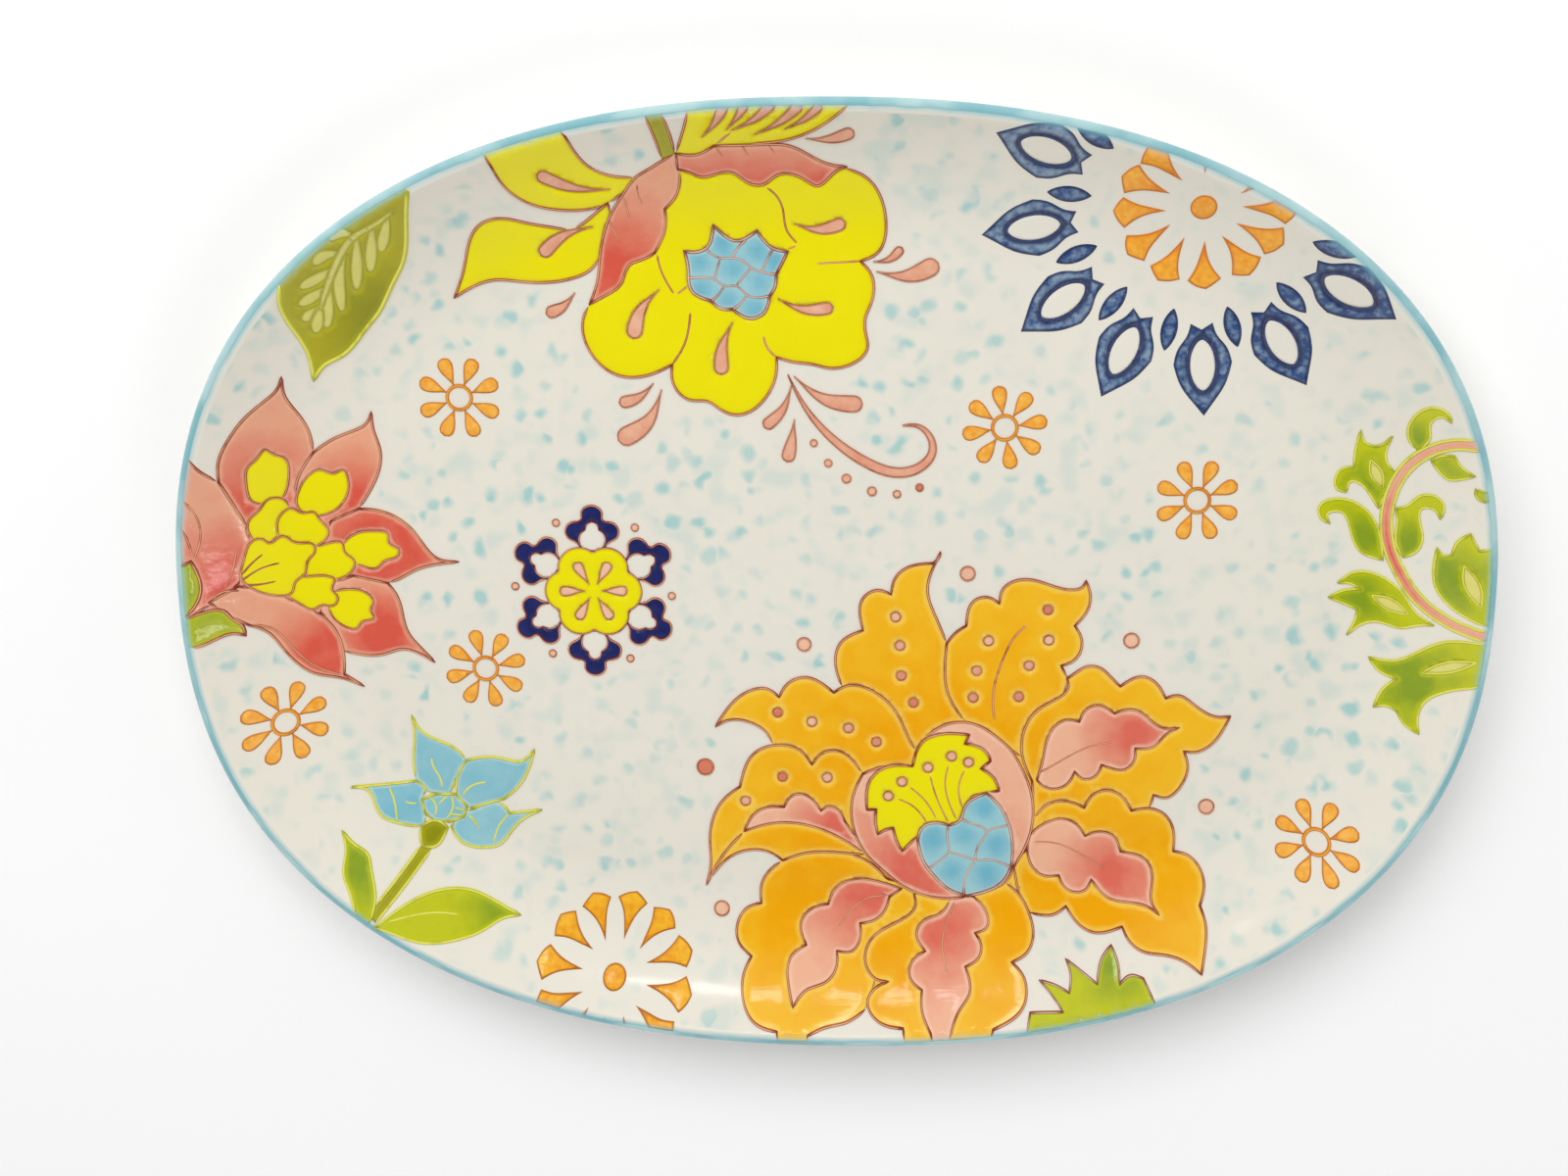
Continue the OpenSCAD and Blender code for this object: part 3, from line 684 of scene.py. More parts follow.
def yellow_bloom():
    m = Motif("yellow", "yellow_bloom")
    berries = pooled(3.6, (-40, 100.5), (-33, 106), (-22.5, 104.5), (-29.5, 98), (-17, 101), (-39.5, 92.5),
        (-31.5, 89.5), (-21.5, 94), (-23, 86.5))
    m.area("leaf", 0.3, (-57, 127), [(-65, 127.5), (-72, 131), (-77, 140)], (-84, 148), (-104, 142),
        (-99.5, 131), [(-97, 125), (-91, 119.5), (-82, 117), (-66, 119.5), (-61, 123.5)])
    m.area("leaf", 0.3, (-115.5, 89.5), [(-112, 98), (-105, 113), (-100, 114.5), (-92, 113), (-84, 111.4),
        (-78, 111), (-73, 114), (-67, 119)], (-66, 112), (-70, 103),
        [(-73, 98.5), (-79, 95.5), (-95, 94.5), (-103, 95)])
    m.area("leaf", 0.5, (-45.5, 134.5), [(-38, 134.5), (-33, 137)],
        [(-22, 137.5), (-12, 138.8), (3, 147), (8, 152)], (-41, 156), [(-41, 148), (-43, 141)])
    m.strokes(1.1, [(-34, 137), (-28, 141.5), (-21, 146), (-15, 152)])
    m.drops(0.4, ((-30.5, 150), (-37.5, 139.5), 1.6, -1), ((-24, 150.5), (-30, 142), 1.3, -0.6),
        ((-17, 149.5), (-28.5, 141.7), 1.4, -1), ((-9, 149), (-22, 140.3), 1.4, -1),
        ((-3, 149), (-13, 142), 1.2, -0.8), width=0.5)
    m.area("stem", 0.4, (-54, 148), [(-51.5, 140), (-49.7, 132.5)], (-45.8, 134),
        [(-46.7, 140), (-49, 148)], [])
    m.area("petal", 0.4, (4, 130), [(10, 127.5), (16.7, 114), (14, 103.5), (9, 101.2)], [(12, 98),
        (12.5, 88.5), (10.8, 84), (10.9, 79), (11.5, 75), (0, 68.2), (-5, 69.3), (-11, 70), (-16.5, 71.5)],
        [(-16.7, 66), (-29, 53.3), (-34, 55), (-38, 57.5), (-43, 57.8), (-47.5, 61), (-49, 66),
        (-48.7, 69)], [(-55, 66), (-67, 66), (-76, 83), (-74, 87.5)], (-60, 106), (-48, 130), [])
    m.strokes(1.2, [(9, 101.2), (-5, 100.4)])
    m.strokes(1.3, [(-16.5, 71.5), (-19, 74), (-20.7, 79)])
    m.strokes(1.4, [(-48.7, 69), (-45, 75), (-42.8, 86)], ink=0.4)
    m.strokes(1.3, [(-20, 124.5), (-16, 121), (-14.3, 117), (-13.4, 111), (-9.5, 106)], ink=0.4)
    m.strokes(1.1, [(-9.5, 106), (-14, 104.5)])
    m.strokes(1.2, [(-43.5, 93.5), (-47.5, 90.3)])
    m.strokes(1.2, [(-47.5, 90.3), (-52, 99), (-53, 104)], ink=0.3)
    m.area("sepal", toward((-66, 97), 6, 30), (-45.5, 134.5), [(-50, 132), (-54, 129.5), (-58, 127),
        (-62, 122), (-66, 116), (-70.5, 101), (-71.5, 94), (-74, 87.5)],
        [(-68.5, 90.5), (-64, 94), (-61.5, 99.5), (-57, 101.5), (-53.5, 103.5)], [(-50, 112), (-50, 117)],
        [(-46.5, 121)])
    m.strokes(0.9, [(-57.7, 125.5), (-57.5, 121), (-56, 117.5)])
    m.strokes(1.0, [(-62, 121), (-60.5, 113)])
    m.strokes(0.9, [(-67, 114), (-65.5, 110), (-64, 107)])
    m.area("sepal", lambda q: min(1, max(0, (139 - q[1]) / 14)), (-45.5, 134.5), [(-40, 134), (-34, 136.8)],
        [(-19, 137.2), (-12, 136.8), (-1, 131.3), (5, 130.3)], [(2, 129), (-4, 124.3), (-8, 126.5),
        (-16, 127.5), (-20, 124.7), (-25, 125.5), (-29, 128.3), (-34, 128), (-38, 127), (-42, 128.5),
        (-45.3, 129.5)], [])
    m.strokes(0.9, [(-34, 137), (-31, 132.5)], [(-26, 137), (-23.5, 133)], [(-18, 136.9), (-15.5, 133.5)])
    m.area("berry", berries, (-13, 104), [(-17.5, 105), (-22.3, 110.3)], [(-28.5, 107.2), (-35.5, 112)],
        [(-38, 104.8), (-41, 103.7), (-44.5, 104)], [(-43.4, 99), (-42.5, 92), (-36.5, 88.8)],
        [(-33.5, 86.5), (-30, 86.3)], [(-24, 83.5), (-20.5, 85), (-18.5, 90.5)], [(-17, 93), (-16.5, 97)],
        [], width=1.3, line="cells")
    m.strokes(1.3,
        [(-38.6, 105.2), (-33.5, 102), (-30, 102), (-26.5, 101), (-24, 99), (-21, 97.8), (-15.6, 96.9)],
        [(-30.4, 101.3), (-28.5, 104.5), (-25, 108.2)], [(-33.2, 103), (-35.8, 94.4)],
        [(-44.4, 95.7), (-39, 96), (-35.5, 95.5), (-32, 93.4), (-29, 93.5), (-25.5, 90.8), (-17.4, 90.8)],
        [(-23.2, 100), (-29.7, 92.5)], [(-24.9, 91.8), (-27, 88.5), (-31, 85.4)],
        [(-31.9, 94.4), (-34, 91), (-37.5, 87.8)], [(-21.4, 96.8), (-19.5, 101), (-16.8, 106)],
        line="cells")
    m.drops(0.4, ((-85, 128), (-66, 123.3), 1.9, 2), ((-86.5, 103.5), (-72, 111.5), 2, -2),
        ((2.5, 113), (-11, 112.5), 1.9, -2), ((-1, 87.3), (-16, 89.5), 1.8, -2),
        ((-33, 68), (-30, 82), 2.1, -1.5), ((-59.5, 79), (-52.5, 92), 2.3, -2), width=0.5)
    m.paint()


def spray():
    m = Motif("spray", "spray", 0.5)
    spots = [((-5, 44.5), 1.1), ((-0.5, 38.2), 1.2), ((5.2, 33.3), 1.4), ((13.2, 29.3), 1.4),
        ((21, 28.5), 1.2), ((28, 30.7), 1.2)]
    curl = ribbon([(-13, 66), (-9, 58), (12, 38.2), (21, 35.4), (28, 37.2), (31.8, 42), (30.6, 47.5),
        (27, 50.3), (22.5, 50.3)], lambda u: 0.15 + 2.9 * math.sin(math.pi * u ** 1.25) ** 0.8)
    m.drops(0.45, ((5.5, 141), (-7, 139), 1.8, -1.2), ((20.5, 104.8), (13, 101), 1.3, -1.5),
        ((30, 100.4), (14, 98), 2.7, -2.6), ((-86, 85.5), (-78.4, 91), 1.8, 1.2),
        ((-63.9, 57.6), (-54.7, 63), 1.8, 1.5), ((-64.1, 47.1), (-52.2, 61.1), 2.9, 3.2),
        ((-19.5, 51), (-12, 62.5), 1.8, 1.8), ((-13, 40.5), (-11, 52), 2, 0.3),
        ((7.7, 57.9), (-11.1, 65.5), 2.5, -3))
    m.paint()
    m.patch("curl", 0.5, curl)
    m.paint()
    for k, (c, r) in enumerate(spots):
        m.patch("dot", 0.2 + 0.8 * (k == 5), disc(c, r))
    m.paint()


def coral_bloom():
    m = Motif("coral", "coral_bloom")
    red = toward((-180, 8), 12, 46)
    tongues = [
        [(-175.6, 42.6), (-173.6, 41), (-170.6, 39.4), (-169.5, 36), (-170, 31.7), (-171.7, 27),
            (-176.5, 25), (-180.2, 25.8), (-181.7, 31.7), (-180.6, 37.6), (-178, 40)],
        [(-160, 34.8), (-156.2, 33.5), (-153.3, 34.6), (-152, 32), (-152.3, 27.2), (-155, 22.8),
            (-160.3, 20), (-165.4, 20.5), (-168, 23.5), (-167.3, 28), (-164.3, 32.8)],
        [(-154.4, 10), (-150, 14), (-144, 14.8), (-140, 13.6), (-140, 11), (-136.8, 8.6), (-137.4, 6.6),
            (-141.5, 5), (-144, 2.7), (-149.2, 3.3), (-153, 5)],
        [(-160, -7), (-153, -4.5), (-147.7, -6), (-146, -9), (-147, -11.5), (-146, -14), (-150, -15.5),
            (-151.4, -17.4), (-156, -16.7), (-160, -12)],
        [(-178.7, 23.2), (-176.5, 26), (-172, 25.8), (-170.6, 22.8), (-173.2, 19), (-174.3, 14.7),
            (-177.2, 12), (-181.7, 14.7), (-181.9, 20)],
        [(-174.3, 17), (-172.8, 21), (-169.5, 22.6), (-167, 21), (-163.2, 21), (-161.4, 18.4), (-159, 14.7),
            (-160.3, 11.7), (-163.2, 10), (-170, 10), (-173.5, 13)],
        [(-165, 8), (-158, 11), (-154.9, 10.6), (-154.4, 8), (-151.4, 5), (-153, 0.7), (-157.3, -1.2),
            (-165.8, 0), (-168, 4)],
        [(-172, -2), (-167, -0.2), (-161.8, 0), (-158, -1.5), (-159, -4.5), (-157.3, -7.4), (-158.8, -10),
            (-162.5, -9.8), (-164.7, -11), (-169, -9), (-172.5, -5.2)],
    ]
    fan = smooth_loop((-185, 1), (-184, 8), (-181, 13.4), (-178.6, 13.4), (-177, 11.8), (-173, 13.8),
        (-170.4, 12), (-167.5, 11), (-164, 10.4), (-163.6, 8), (-166, 5), (-167, 1), (-170, -1.6),
        (-171.2, -5), (-176, -5.5), (-182, -2.6))
    m.area("petal", red, (-195, -7.3), (-188, 8), (-184, 22), (-160, 24), (-150, 2), (-158, -12),
        (-182, -13), [], width=0)
    m.area("petal", toward((-190, 2), 3, 24), (-196, 43), [(-193.5, 38.5), (-188.8, 33.7)],
        [(-184, 22), (-182, 12)], (-186, 0), (-193, -5), (-199, -8), (-208, 5), (-205, 34), [])
    m.strokes(1.2, [(-200, 31), (-196.5, 26.5), (-195.2, 15), (-197, 10)])
    m.strokes(1.1, [(-202, 24), (-198.5, 18), (-197.3, 11)])
    m.area("petal", toward((-178, 22), 8, 30), (-188.8, 33.7),
        [(-188.3, 40), (-185, 47), (-180, 53.5), (-174, 58.5), (-170.2, 62), (-168.4, 66)],
        [(-168.4, 60), (-165, 53), (-162.6, 47), (-162, 40.5)], (-166, 22), (-181, 14), [])
    m.area("petal", toward((-150, 20), 7, 24), (-162, 40.5),
        [(-157, 44), (-150, 47), (-145, 49.8), (-143.4, 53.2)], [(-143, 47.5), (-141.4, 42), (-149, 22)],
        (-161, 16), [(-168, 28)])
    m.area("petal", toward((-142, 8), 9, 32), (-149, 22),
        [(-143, 21.5), (-132, 15), (-124, 5.7), (-118, 5)], [(-133, 1.5), (-137, -0.8), (-141, -2.3)],
        (-152, 0), (-162, 8), (-158, 18), [])
    m.area("petal", toward((-144, -19), 6, 20), (-141, -2.3),
        [(-138, -7), (-135, -19), (-132, -23), (-127, -28.5)], [(-138, -24.4), (-143, -26), (-156, -25.3)],
        [(-158, -19), (-163, -12)], (-160, -3), (-152, 0), [])
    m.area("petal", toward((-161, -26), 5, 22), (-194, -4.5), [(-190, -9), (-184, -14)],
        [(-179, -17), (-175, -22.5), (-165, -32.4), (-158, -34), (-150.5, -37)], (-156.5, -33),
        [(-157, -22), (-160, -16), (-165, -11.6)], (-176, -5), (-186, -1), [])
    m.strokes(1.1, [(-183, -14), (-177, -16.5), (-172.5, -22), (-163, -31), (-157, -33)],
        [(-193.5, -4), (-190.5, -2), (-185.5, -2.6)], [(-190, -1), (-187.5, 4), (-186, 11)])
    m.area("leaf", 0.6, (-197.8, 9.8), [(-196, -1), (-198, -5.5), (-201, -8.5)], (-207, -2), (-204, 6), [],
        width=1.2)
    m.area("leaf", 0.4, (-204, -9.5),
        [(-199, -8.2), (-190, -8.5), (-188.4, -11), (-186, -13.5), (-185, -17.2)],
        [(-188, -16), (-197, -18), (-203, -17)], [], width=1.2)
    for t in tongues:
        m.patch("stamen", 0.4, smooth_loop(*t, step=0.7), width=0.85)
    m.patch("stamen", 0.4, fan, width=0.85)
    m.strokes(1.1, [(-185, 2.6), (-182, 6), (-178.2, 9)], [(-185.4, 0.5), (-180, 3.8), (-173.3, 5.2)],
        [(-184.8, -0.8), (-180, -1.2), (-174.8, -0.6)], ink=0.6)
    m.paint()


def orange_bloom():
    m = Motif("orange", "orange_bloom")
    warm = toward((37, -78), 22, 80)
    spots = [(21, -11.5), (22.5, -21), (23, -31), (27, -40), (50.5, -19), (47, -29), (46, -38), (69, -8.5),
        (69.5, -18.5), (63.5, -27), (60.5, -37.5), (-16.5, -44), (-5.5, -47), (6.3, -49), (15.3, -53.5),
        (-15, -66), (-0.5, -66), (-27, -74.5)]
    stamens = [
        ((19.3, -72), [(27, -75), (33.5, -84)]),
        ((23.7, -67), [(31, -73), (36.5, -83.5)]),
        ((32, -62), [(34.5, -71), (40, -83)]),
        ((39.5, -58), [(37.6, -66), (42.6, -82)]),
        ((45, -60), [(42, -68), (44, -78)]),
    ]
    berries = pooled(4.8, (50.5, -75.5), (44.3, -84.5), (34, -86.5), (54.8, -88), (40, -98), (52, -98.5))
    m.patch("petal", warm, disc((39, -79), 33.5, 60), width=0)
    m.area("petal", 0.5, (14, -118), (8, -128), (11, -138), (20, -140), (24, -120), [], width=0)
    m.area("petal", warm, (4, -34.5), [(2, -27), (3.5, -20.5), (10.7, -16)],
        [(11, -5), (15, -2.7), (19.5, -4)], [(20.6, 1), (24, 4.5), (32.5, 6.3)], [(34, 7.6), (35, 10)],
        [(31, -3), (34, -12), (37.3, -20)], (44, -46), (36, -50), (28, -58), (10, -50), [])
    m.area("petal", warm, (37.3, -20), [(40, -16.5), (43.4, -14)], [(46, -5.6), (50, -4.6), (53.7, -6.7)],
        [(54.6, -2), (58, 0.7), (64, 1.2), (76, -1.8), (79.6, -0.8), (80.6, 1.2)],
        [(82, -3), (81.5, -8), (77.5, -13.6)], [(79.5, -17), (79.6, -22), (77, -25.5), (73.6, -26.8)],
        (76, -31.4), (72, -45), (62, -58), (50, -48), (43.5, -46), [(38.5, -38)])
    m.strokes(1.4, [(63, -13), (59, -17), (55.5, -24), (52.3, -38), (53, -45.8)])
    m.strokes(1.2, [(53, -43.5), (53, -46)], ink=1.0)
    m.area("petal", warm, (65.5, -66), [(61.9, -56), (65.5, -43), (70, -39.5), (76.1, -34), (75.7, -31)],
        [(78, -29.4), (82, -27), (86, -27.5), (89.5, -30.5), (92.5, -33.5)],
        [(100, -30.2), (104, -32.5), (107, -37.3)],
        [(111, -36.3), (115, -38.5), (124.5, -43.4), (127.6, -43)],
        [(121, -53.5), (117, -55.3), (113.5, -55)], [(115, -60), (114, -65), (108, -71), (104.5, -70)],
        [(104, -72.4), (103, -75)], (90, -82), (67, -82), [])
    m.area("inner", toward((98, -50), 3, 22), (67, -65.5),
        [(68.5, -60), (72.5, -47), (76, -45), (80, -45.6)], [(82, -41.5), (85.5, -40), (91, -42.6)],
        [(96, -41.2), (100, -42.5), (104, -46), (108.5, -47.5), (111.6, -47)],
        [(107, -50), (104, -53.5), (98, -54.3)], [(98, -58), (96, -61), (87.5, -60)],
        [(86, -63.6), (82, -65), (79, -62.4)], [(77, -66.5), (73, -68.5), (69, -67.6)], width=1.0)
    m.strokes(1.1, [(68, -63), (75, -58.5), (84, -53.7), (92, -52)])
    m.area("petal", toward((84, -104), 10, 60), (66.4, -79), [(70, -74.5), (75, -72.6), (82.5, -74.9)],
        [(85, -70.5), (89, -68.7), (93.5, -70), (97.6, -75.6)],
        [(103, -74.7), (108, -76.5), (111.3, -82), (111.5, -89)], [(116, -90), (121.3, -98), (120, -105)],
        [(121.7, -110), (121.5, -116), (120, -123.5)],
        [(115, -121), (108, -120), (101, -119.5), (97.5, -117), (95.5, -113.4)],
        [(86, -115.7), (81.5, -113.6), (77.5, -108.4)], [(74, -111), (66, -111)],
        [(62.5, -105), (60.5, -95.5)], (64, -90), [])
    m.area("inner", toward((93, -98), 3, 22), (64.5, -90),
        [(66, -84), (70, -80.5), (76, -78.8), (80, -80.5), (83, -84.6)],
        [(88, -83), (92, -84.3), (94.6, -89.8)], [(103.5, -93), (105, -99), (104.7, -105), (107.2, -109)],
        [(104, -107), (91, -105), (85.5, -99.4)],
        [(83.5, -103), (79.5, -103.7), (76.5, -101.7), (75, -98.4)], [(70, -98.6), (66, -95)], width=1.0)
    m.strokes(1.1, [(66, -87), (74, -87.3), (82, -91), (91, -96)])
    m.area("petal", toward((60, -112), 5, 40), (45, -106), [(52, -104), (57.5, -101.4)],
        [(62, -105), (65.5, -111), (67, -118), (65, -123), (60, -126)],
        [(64, -130), (64.5, -136), (54, -144)], (52, -152), (34, -152), (39, -125), [])
    m.area("petal", toward((-4, -108), 8, 40), (19, -100.6),
        [(12, -94.3), (-3, -92), (-10, -93), (-15, -95)], [(-19.5, -99), (-22, -104), (-22, -110)],
        [(-27, -112), (-29.5, -122), (-25, -126.6)], [(-27.5, -132), (-24, -144), (-16, -146.6)],
        (-15, -156), (-6, -156), (-6, -147.5), [(0, -145.3), (7, -143.8), (12.7, -140.5)], (16, -132),
        (30, -108), (24, -103), [])
    m.area("inner", toward((12, -104), 5, 30), (24, -104.2),
        [(15, -101.5), (7, -101.5), (2, -105), (0, -110)], [(-6, -112), (-9, -117), (-7, -123)],
        [(-11.5, -126), (-11, -140.5)], [(-7, -136), (0, -133.3), (3, -129), (3, -124.6)],
        [(8, -124.6), (10.5, -121), (10.5, -116)], [(15, -115), (18, -112.5), (20, -107)], [], width=1.0)
    m.strokes(1.1, [(20, -106.5), (13, -107.5), (3, -118)])
    m.area("petal", toward((22, -126), 3, 24), (28, -106),
        [(28.6, -110), (25, -114), (13.5, -122), (12.5, -128), (16, -132.4), (20, -133)],
        [(15, -135.5), (13.3, -139), (15.5, -142.6), (25, -145)], (26, -152), (40, -152), (41, -120),
        (40, -107), [])
    m.area("inner", toward((36, -116), 3, 26), (40, -107.4),
        [(37, -112), (31, -115), (29, -119), (32, -124)], [(27.5, -127.5), (27, -131.5), (31, -135)],
        [(31, -140), (34, -146)], (36, -156), [(40, -147), (43, -140), (46.5, -135), (45, -128)],
        [(49.5, -125), (50, -121), (48, -118)], [(52, -116), (51.5, -111), (47.5, -106.5)], [], width=1.0)
    m.strokes(1.1, [(41.5, -108), (37.5, -122), (39.5, -131)])
    m.area("petal", warm, (28.5, -57), [(26, -53), (23, -46), (12, -35.3), (6, -34.5), (1.5, -37)],
        [(-8, -32), (-13, -34), (-16, -38.8)], [(-20, -36), (-25, -36.6), (-36.5, -49)],
        [(-33, -47), (-24, -48), (-20, -51), (-18, -55.2)], (-5, -62), (10.5, -64.4), (27, -62), [])
    m.area("petal", toward((5, -90), 10, 44), (12.5, -92.5), [(-3, -83.6), (-19, -82.2), (-27.5, -85)],
        [(-35, -92), (-39.8, -103.6)], [(-31, -93.3), (-19, -92.3), (-15, -95)], [(-8, -92.4), (8, -92.2)])
    m.area("petal", warm, (11, -64.5), [(2, -56.6), (-2, -57.6), (-5.5, -61.6)],
        [(-9, -57), (-15, -55), (-24, -58), (-28.8, -69.6)],
        [(-34, -74), (-38.8, -88), (-38.6, -97), (-40, -104)], [(-35.5, -95), (-27.5, -85)],
        [(-19, -82.2), (-3, -83.6), (12.5, -92.5)], [(9, -86), (8.2, -71)])
    m.area("inner", toward((4, -84), 4, 22), (-27.5, -85), [(-25, -80), (-21, -76.9), (-14.5, -76.4)],
        [(-12.5, -73), (-9.5, -71.7), (-6, -73), (-2.5, -77.5)], [(-0.5, -76), (3, -77), (5.2, -80.8)],
        (12.5, -92.5), [(-3, -83.6), (-19, -82.2)], width=1.0)
    m.area("throat", toward((31, -100), 7, 42), (28, -57), [(31, -52), (41, -46.3), (47, -47), (53, -50.5),
        (58, -55), (62, -61.5), (65, -69), (64.5, -87), (60.5, -95.5)],
        [(57.5, -101.3), (52, -104.5), (45, -106.6)],
        [(39, -107.2), (24, -103), (18.5, -98.5), (12.5, -92.5), (8.2, -71), (11, -64.5)],
        [(17, -62), (27, -61.5)], [], width=1.1)
    m.area("fan", 0.3, (28, -57), [(30, -53.3), (34, -50.9), (45, -50.5)], (43.7, -53.6),
        [(47.5, -54.3), (51, -57), (52, -59.3)], (49, -62), [(53, -65), (55, -69.5)],
        [(51, -70.2), (46, -72), (43.5, -76)], (42, -81), (36, -84), (28.5, -86), (24, -91),
        [(22, -87), (21, -83)], [(18.6, -83.6), (16, -85.3)], [(15.2, -80), (15.4, -76.6)], (12.4, -76.8),
        [(14, -65.5), (18, -62.2), (27, -61.5)], [], width=1.2)
    for top, stalk in stamens:
        m.strokes(1.0, [top, *stalk])
    m.area("berry", berries, (29, -87), [(30.5, -82.5), (35, -80.8), (39, -81.7)],
        [(42.6, -79.8), (44, -75.4), (51, -70.4)], [(55, -74.6), (59.6, -87), (59.6, -95.5)],
        [(57.3, -100.5), (45.5, -106.2)], [(40, -104.4), (35, -100), (31, -94.4)], width=1.3, line="cells")
    m.strokes(1.3, [(39.1, -80.8), (38.5, -86), (39, -91), (36, -94.2), (32.2, -97.6)],
        [(38, -90.8), (43, -92), (49, -94.3)], [(48.6, -93), (45, -98.5), (44.4, -107)],
        [(47.9, -95), (49, -88), (51.3, -83.5), (47, -81), (41.9, -79.1)],
        [(50.4, -84), (55, -82), (59, -81.4)], [(47, -94), (53, -93.5), (60.2, -96.4)], line="cells")
    for k, p in enumerate(spots):
        m.patch("dot", 0.1 + 0.3 * (k % 4), disc(p, 1.6), width=0.45)
    for p, _ in stamens:
        m.patch("dot", 0.15, disc(p, 1.6), width=0.45)
    m.paint()
    field = [((43.5, 3), 2.3), ((-8, -21), 2.2), ((-40, -63), 2.7), ((95.5, -18.3), 2.4),
        ((121.5, -73.8), 2.4), ((-35, -112), 2.4)]
    m = Motif("field", "spray", 0.6)
    for k, (c, r) in enumerate(field):
        m.patch("dot", 0.1 + 0.9 * (k == 2), disc(c, r, 24))
    m.paint()
    m = Motif("tuft", "orange_bloom", 0.9)
    m.area("", toward((92, -122), 3, 16), (106, -134), (102, -127), [(98, -126.6), (94.5, -129.4)],
        [(94, -123.5), (92, -119)], [(89, -123), (87.5, -130)], (77.5, -124), [(79, -128), (78.5, -133)],
        [(74, -131.3), (69, -130.4)], [(73, -134), (76.5, -138)], (66, -139), (64, -148), (90, -148), [],
        line="cells")
    m.paint()


def blue_flower():
    m = Motif("blue", "blue_flower")
    m.patch("stem", 0.6, ribbon([(-131, -90), (-140, -101.6), (-147, -109.5)], lambda u: 3.4), width=1.2)
    m.area("leaf", toward((-150, -93), 4, 18), (-147.6, -110.5),
        [(-146.4, -105), (-148.3, -95), (-149.5, -91), (-153, -88), (-157.4, -83)],
        [(-156, -89), (-156.3, -95), (-154, -101), (-151.5, -109)], (-150, -114), [])
    m.area("leaf", toward((-107, -110), 3, 14), (-146, -112),
        [(-132, -105), (-116, -105), (-109, -108.5), (-101, -113)],
        [(-107, -113.8), (-112, -116.3), (-118, -118), (-133, -117.3), (-139, -114.8)])
    m.strokes(1.1, [(-142, -110.8), (-126, -110.3), (-120, -111.5)])
    m.area("petal", 0.5, (-118, -62), [(-120, -59.3), (-133, -51.4), (-135.2, -47)],
        [(-134.6, -54), (-135.3, -61), (-134.8, -69)], [(-132, -72.4), (-128.5, -73.5)], (-124, -74),
        [(-122, -69)])
    m.area("petal", 0.7, (-134.5, -69.2), [(-141, -69.8), (-155, -70)],
        [(-150, -71.4), (-147.4, -77), (-145, -80.4), (-141, -82.3), (-136, -83.7), (-132.4, -84)],
        (-131.5, -80), (-132.5, -74), [(-131.8, -72.4)])
    m.strokes(1.2, [(-143.5, -70.5), (-141.6, -76), (-141, -82)],
        [(-139, -75.4), (-136.5, -76.5), (-133, -76.3)])
    m.area("petal", 0.4, (-117, -79), [(-112.5, -77.3), (-109, -76.3), (-106, -77.8), (-104.5, -80.2)],
        (-94, -78.8),
        [(-100, -82), (-104.5, -87), (-108, -90.8), (-112, -91.7), (-121, -89), (-123.6, -84.6)],
        (-122, -82), [])
    m.strokes(1.2, [(-104.5, -80.2), (-108, -84.4), (-110, -90.5)])
    m.strokes(1.4, [(-119, -80), (-116, -83), (-114.4, -86)])
    m.area("petal", 0.5, (-118, -62), [(-107, -61), (-100, -62), (-95.6, -58)],
        [(-101, -70.4), (-106, -75)], (-117.5, -78.6), (-121.5, -74.5), [(-121.5, -69)])
    m.strokes(1.3, [(-129.4, -60.5), (-129, -64), (-127, -68), (-126.2, -72)],
        [(-120, -74.5), (-117, -71), (-111, -69.3)])
    m.area("petal", 0.6, (-133, -75.4), (-128, -73.7), (-122, -73.8), (-118.4, -78), (-119.5, -81.5),
        (-124.5, -83), (-129, -82.4), (-132, -80), [], width=1.1)
    m.strokes(1.2, [(-130.5, -74.5), (-128.5, -77.5), (-129.3, -82.2)], [(-128, -77.5), (-124.5, -74)],
        [(-123.5, -73.8), (-123, -78), (-125.5, -82.6)], [(-123, -78), (-119, -79.5)])
    m.strokes(1.1, [(-125, -80.3), (-119.6, -81)])
    m.area("stem", 0.9, (-132.8, -84), [(-130, -82.5), (-127, -83), (-124.9, -85)],
        [(-129, -90.7), (-132.4, -90.4)], [(-133.4, -87.5)], width=1.2)
    m.paint()


def star_rosette():
    centre = (-75, -4.2)
    m = Motif("star", "star_rosette", 0.4)
    lobe = [(16.4, -5.6), (17.6, -7.7), (20, -8.4), (22.2, -7), (22.7, -4.2)]
    crown = [(23.4, -3.3), (25.6, -3.3), (27.4, -2), (28, 0)]
    crown += [*mirrored(crown), (22.7, 4.2)]
    sill = [(13.4, -2.2), (15, -3.7), (17, -4.2), (19, -3.6), (20.2, -2.2)]
    for a in range(30, 390, 60):
        outer = turned(centre, a, (13, -3.4), lobe, crown, [*mirrored(lobe), (13, 3.4)], [])
        window = turned(centre, a, sill[0], sill[1:], [(21.9, -1.7), (22.9, 0)], [(21.9, 1.7), (20.2, 2.2)],
                        mirrored(sill), [])
        m.patch("point", 0.5, outer, 0.8)
        m.patch("window", 0.0, window, 0.6, height=0.15)
    turns = np.radians(np.arange(0, 360, 4))
    six_lobed = 12.3 + 3.1 * np.abs(np.cos(3 * turns)) ** 0.7
    m.patch("centre", 0.3, Outline(around(centre, six_lobed, turns)), 0.65)
    m.drops(0.0, *((*local(centre, 60 * k + 1, [(9.3, 0), (2.6, 0)]), 1.5) for k in range(6)), width=0.35)
    m.paint()
    for k in range(6):
        m.patch("drop", 0.1, disc(local(centre, 57 + 60 * k, [(25, 0)])[0], 1.2))
    m.paint()


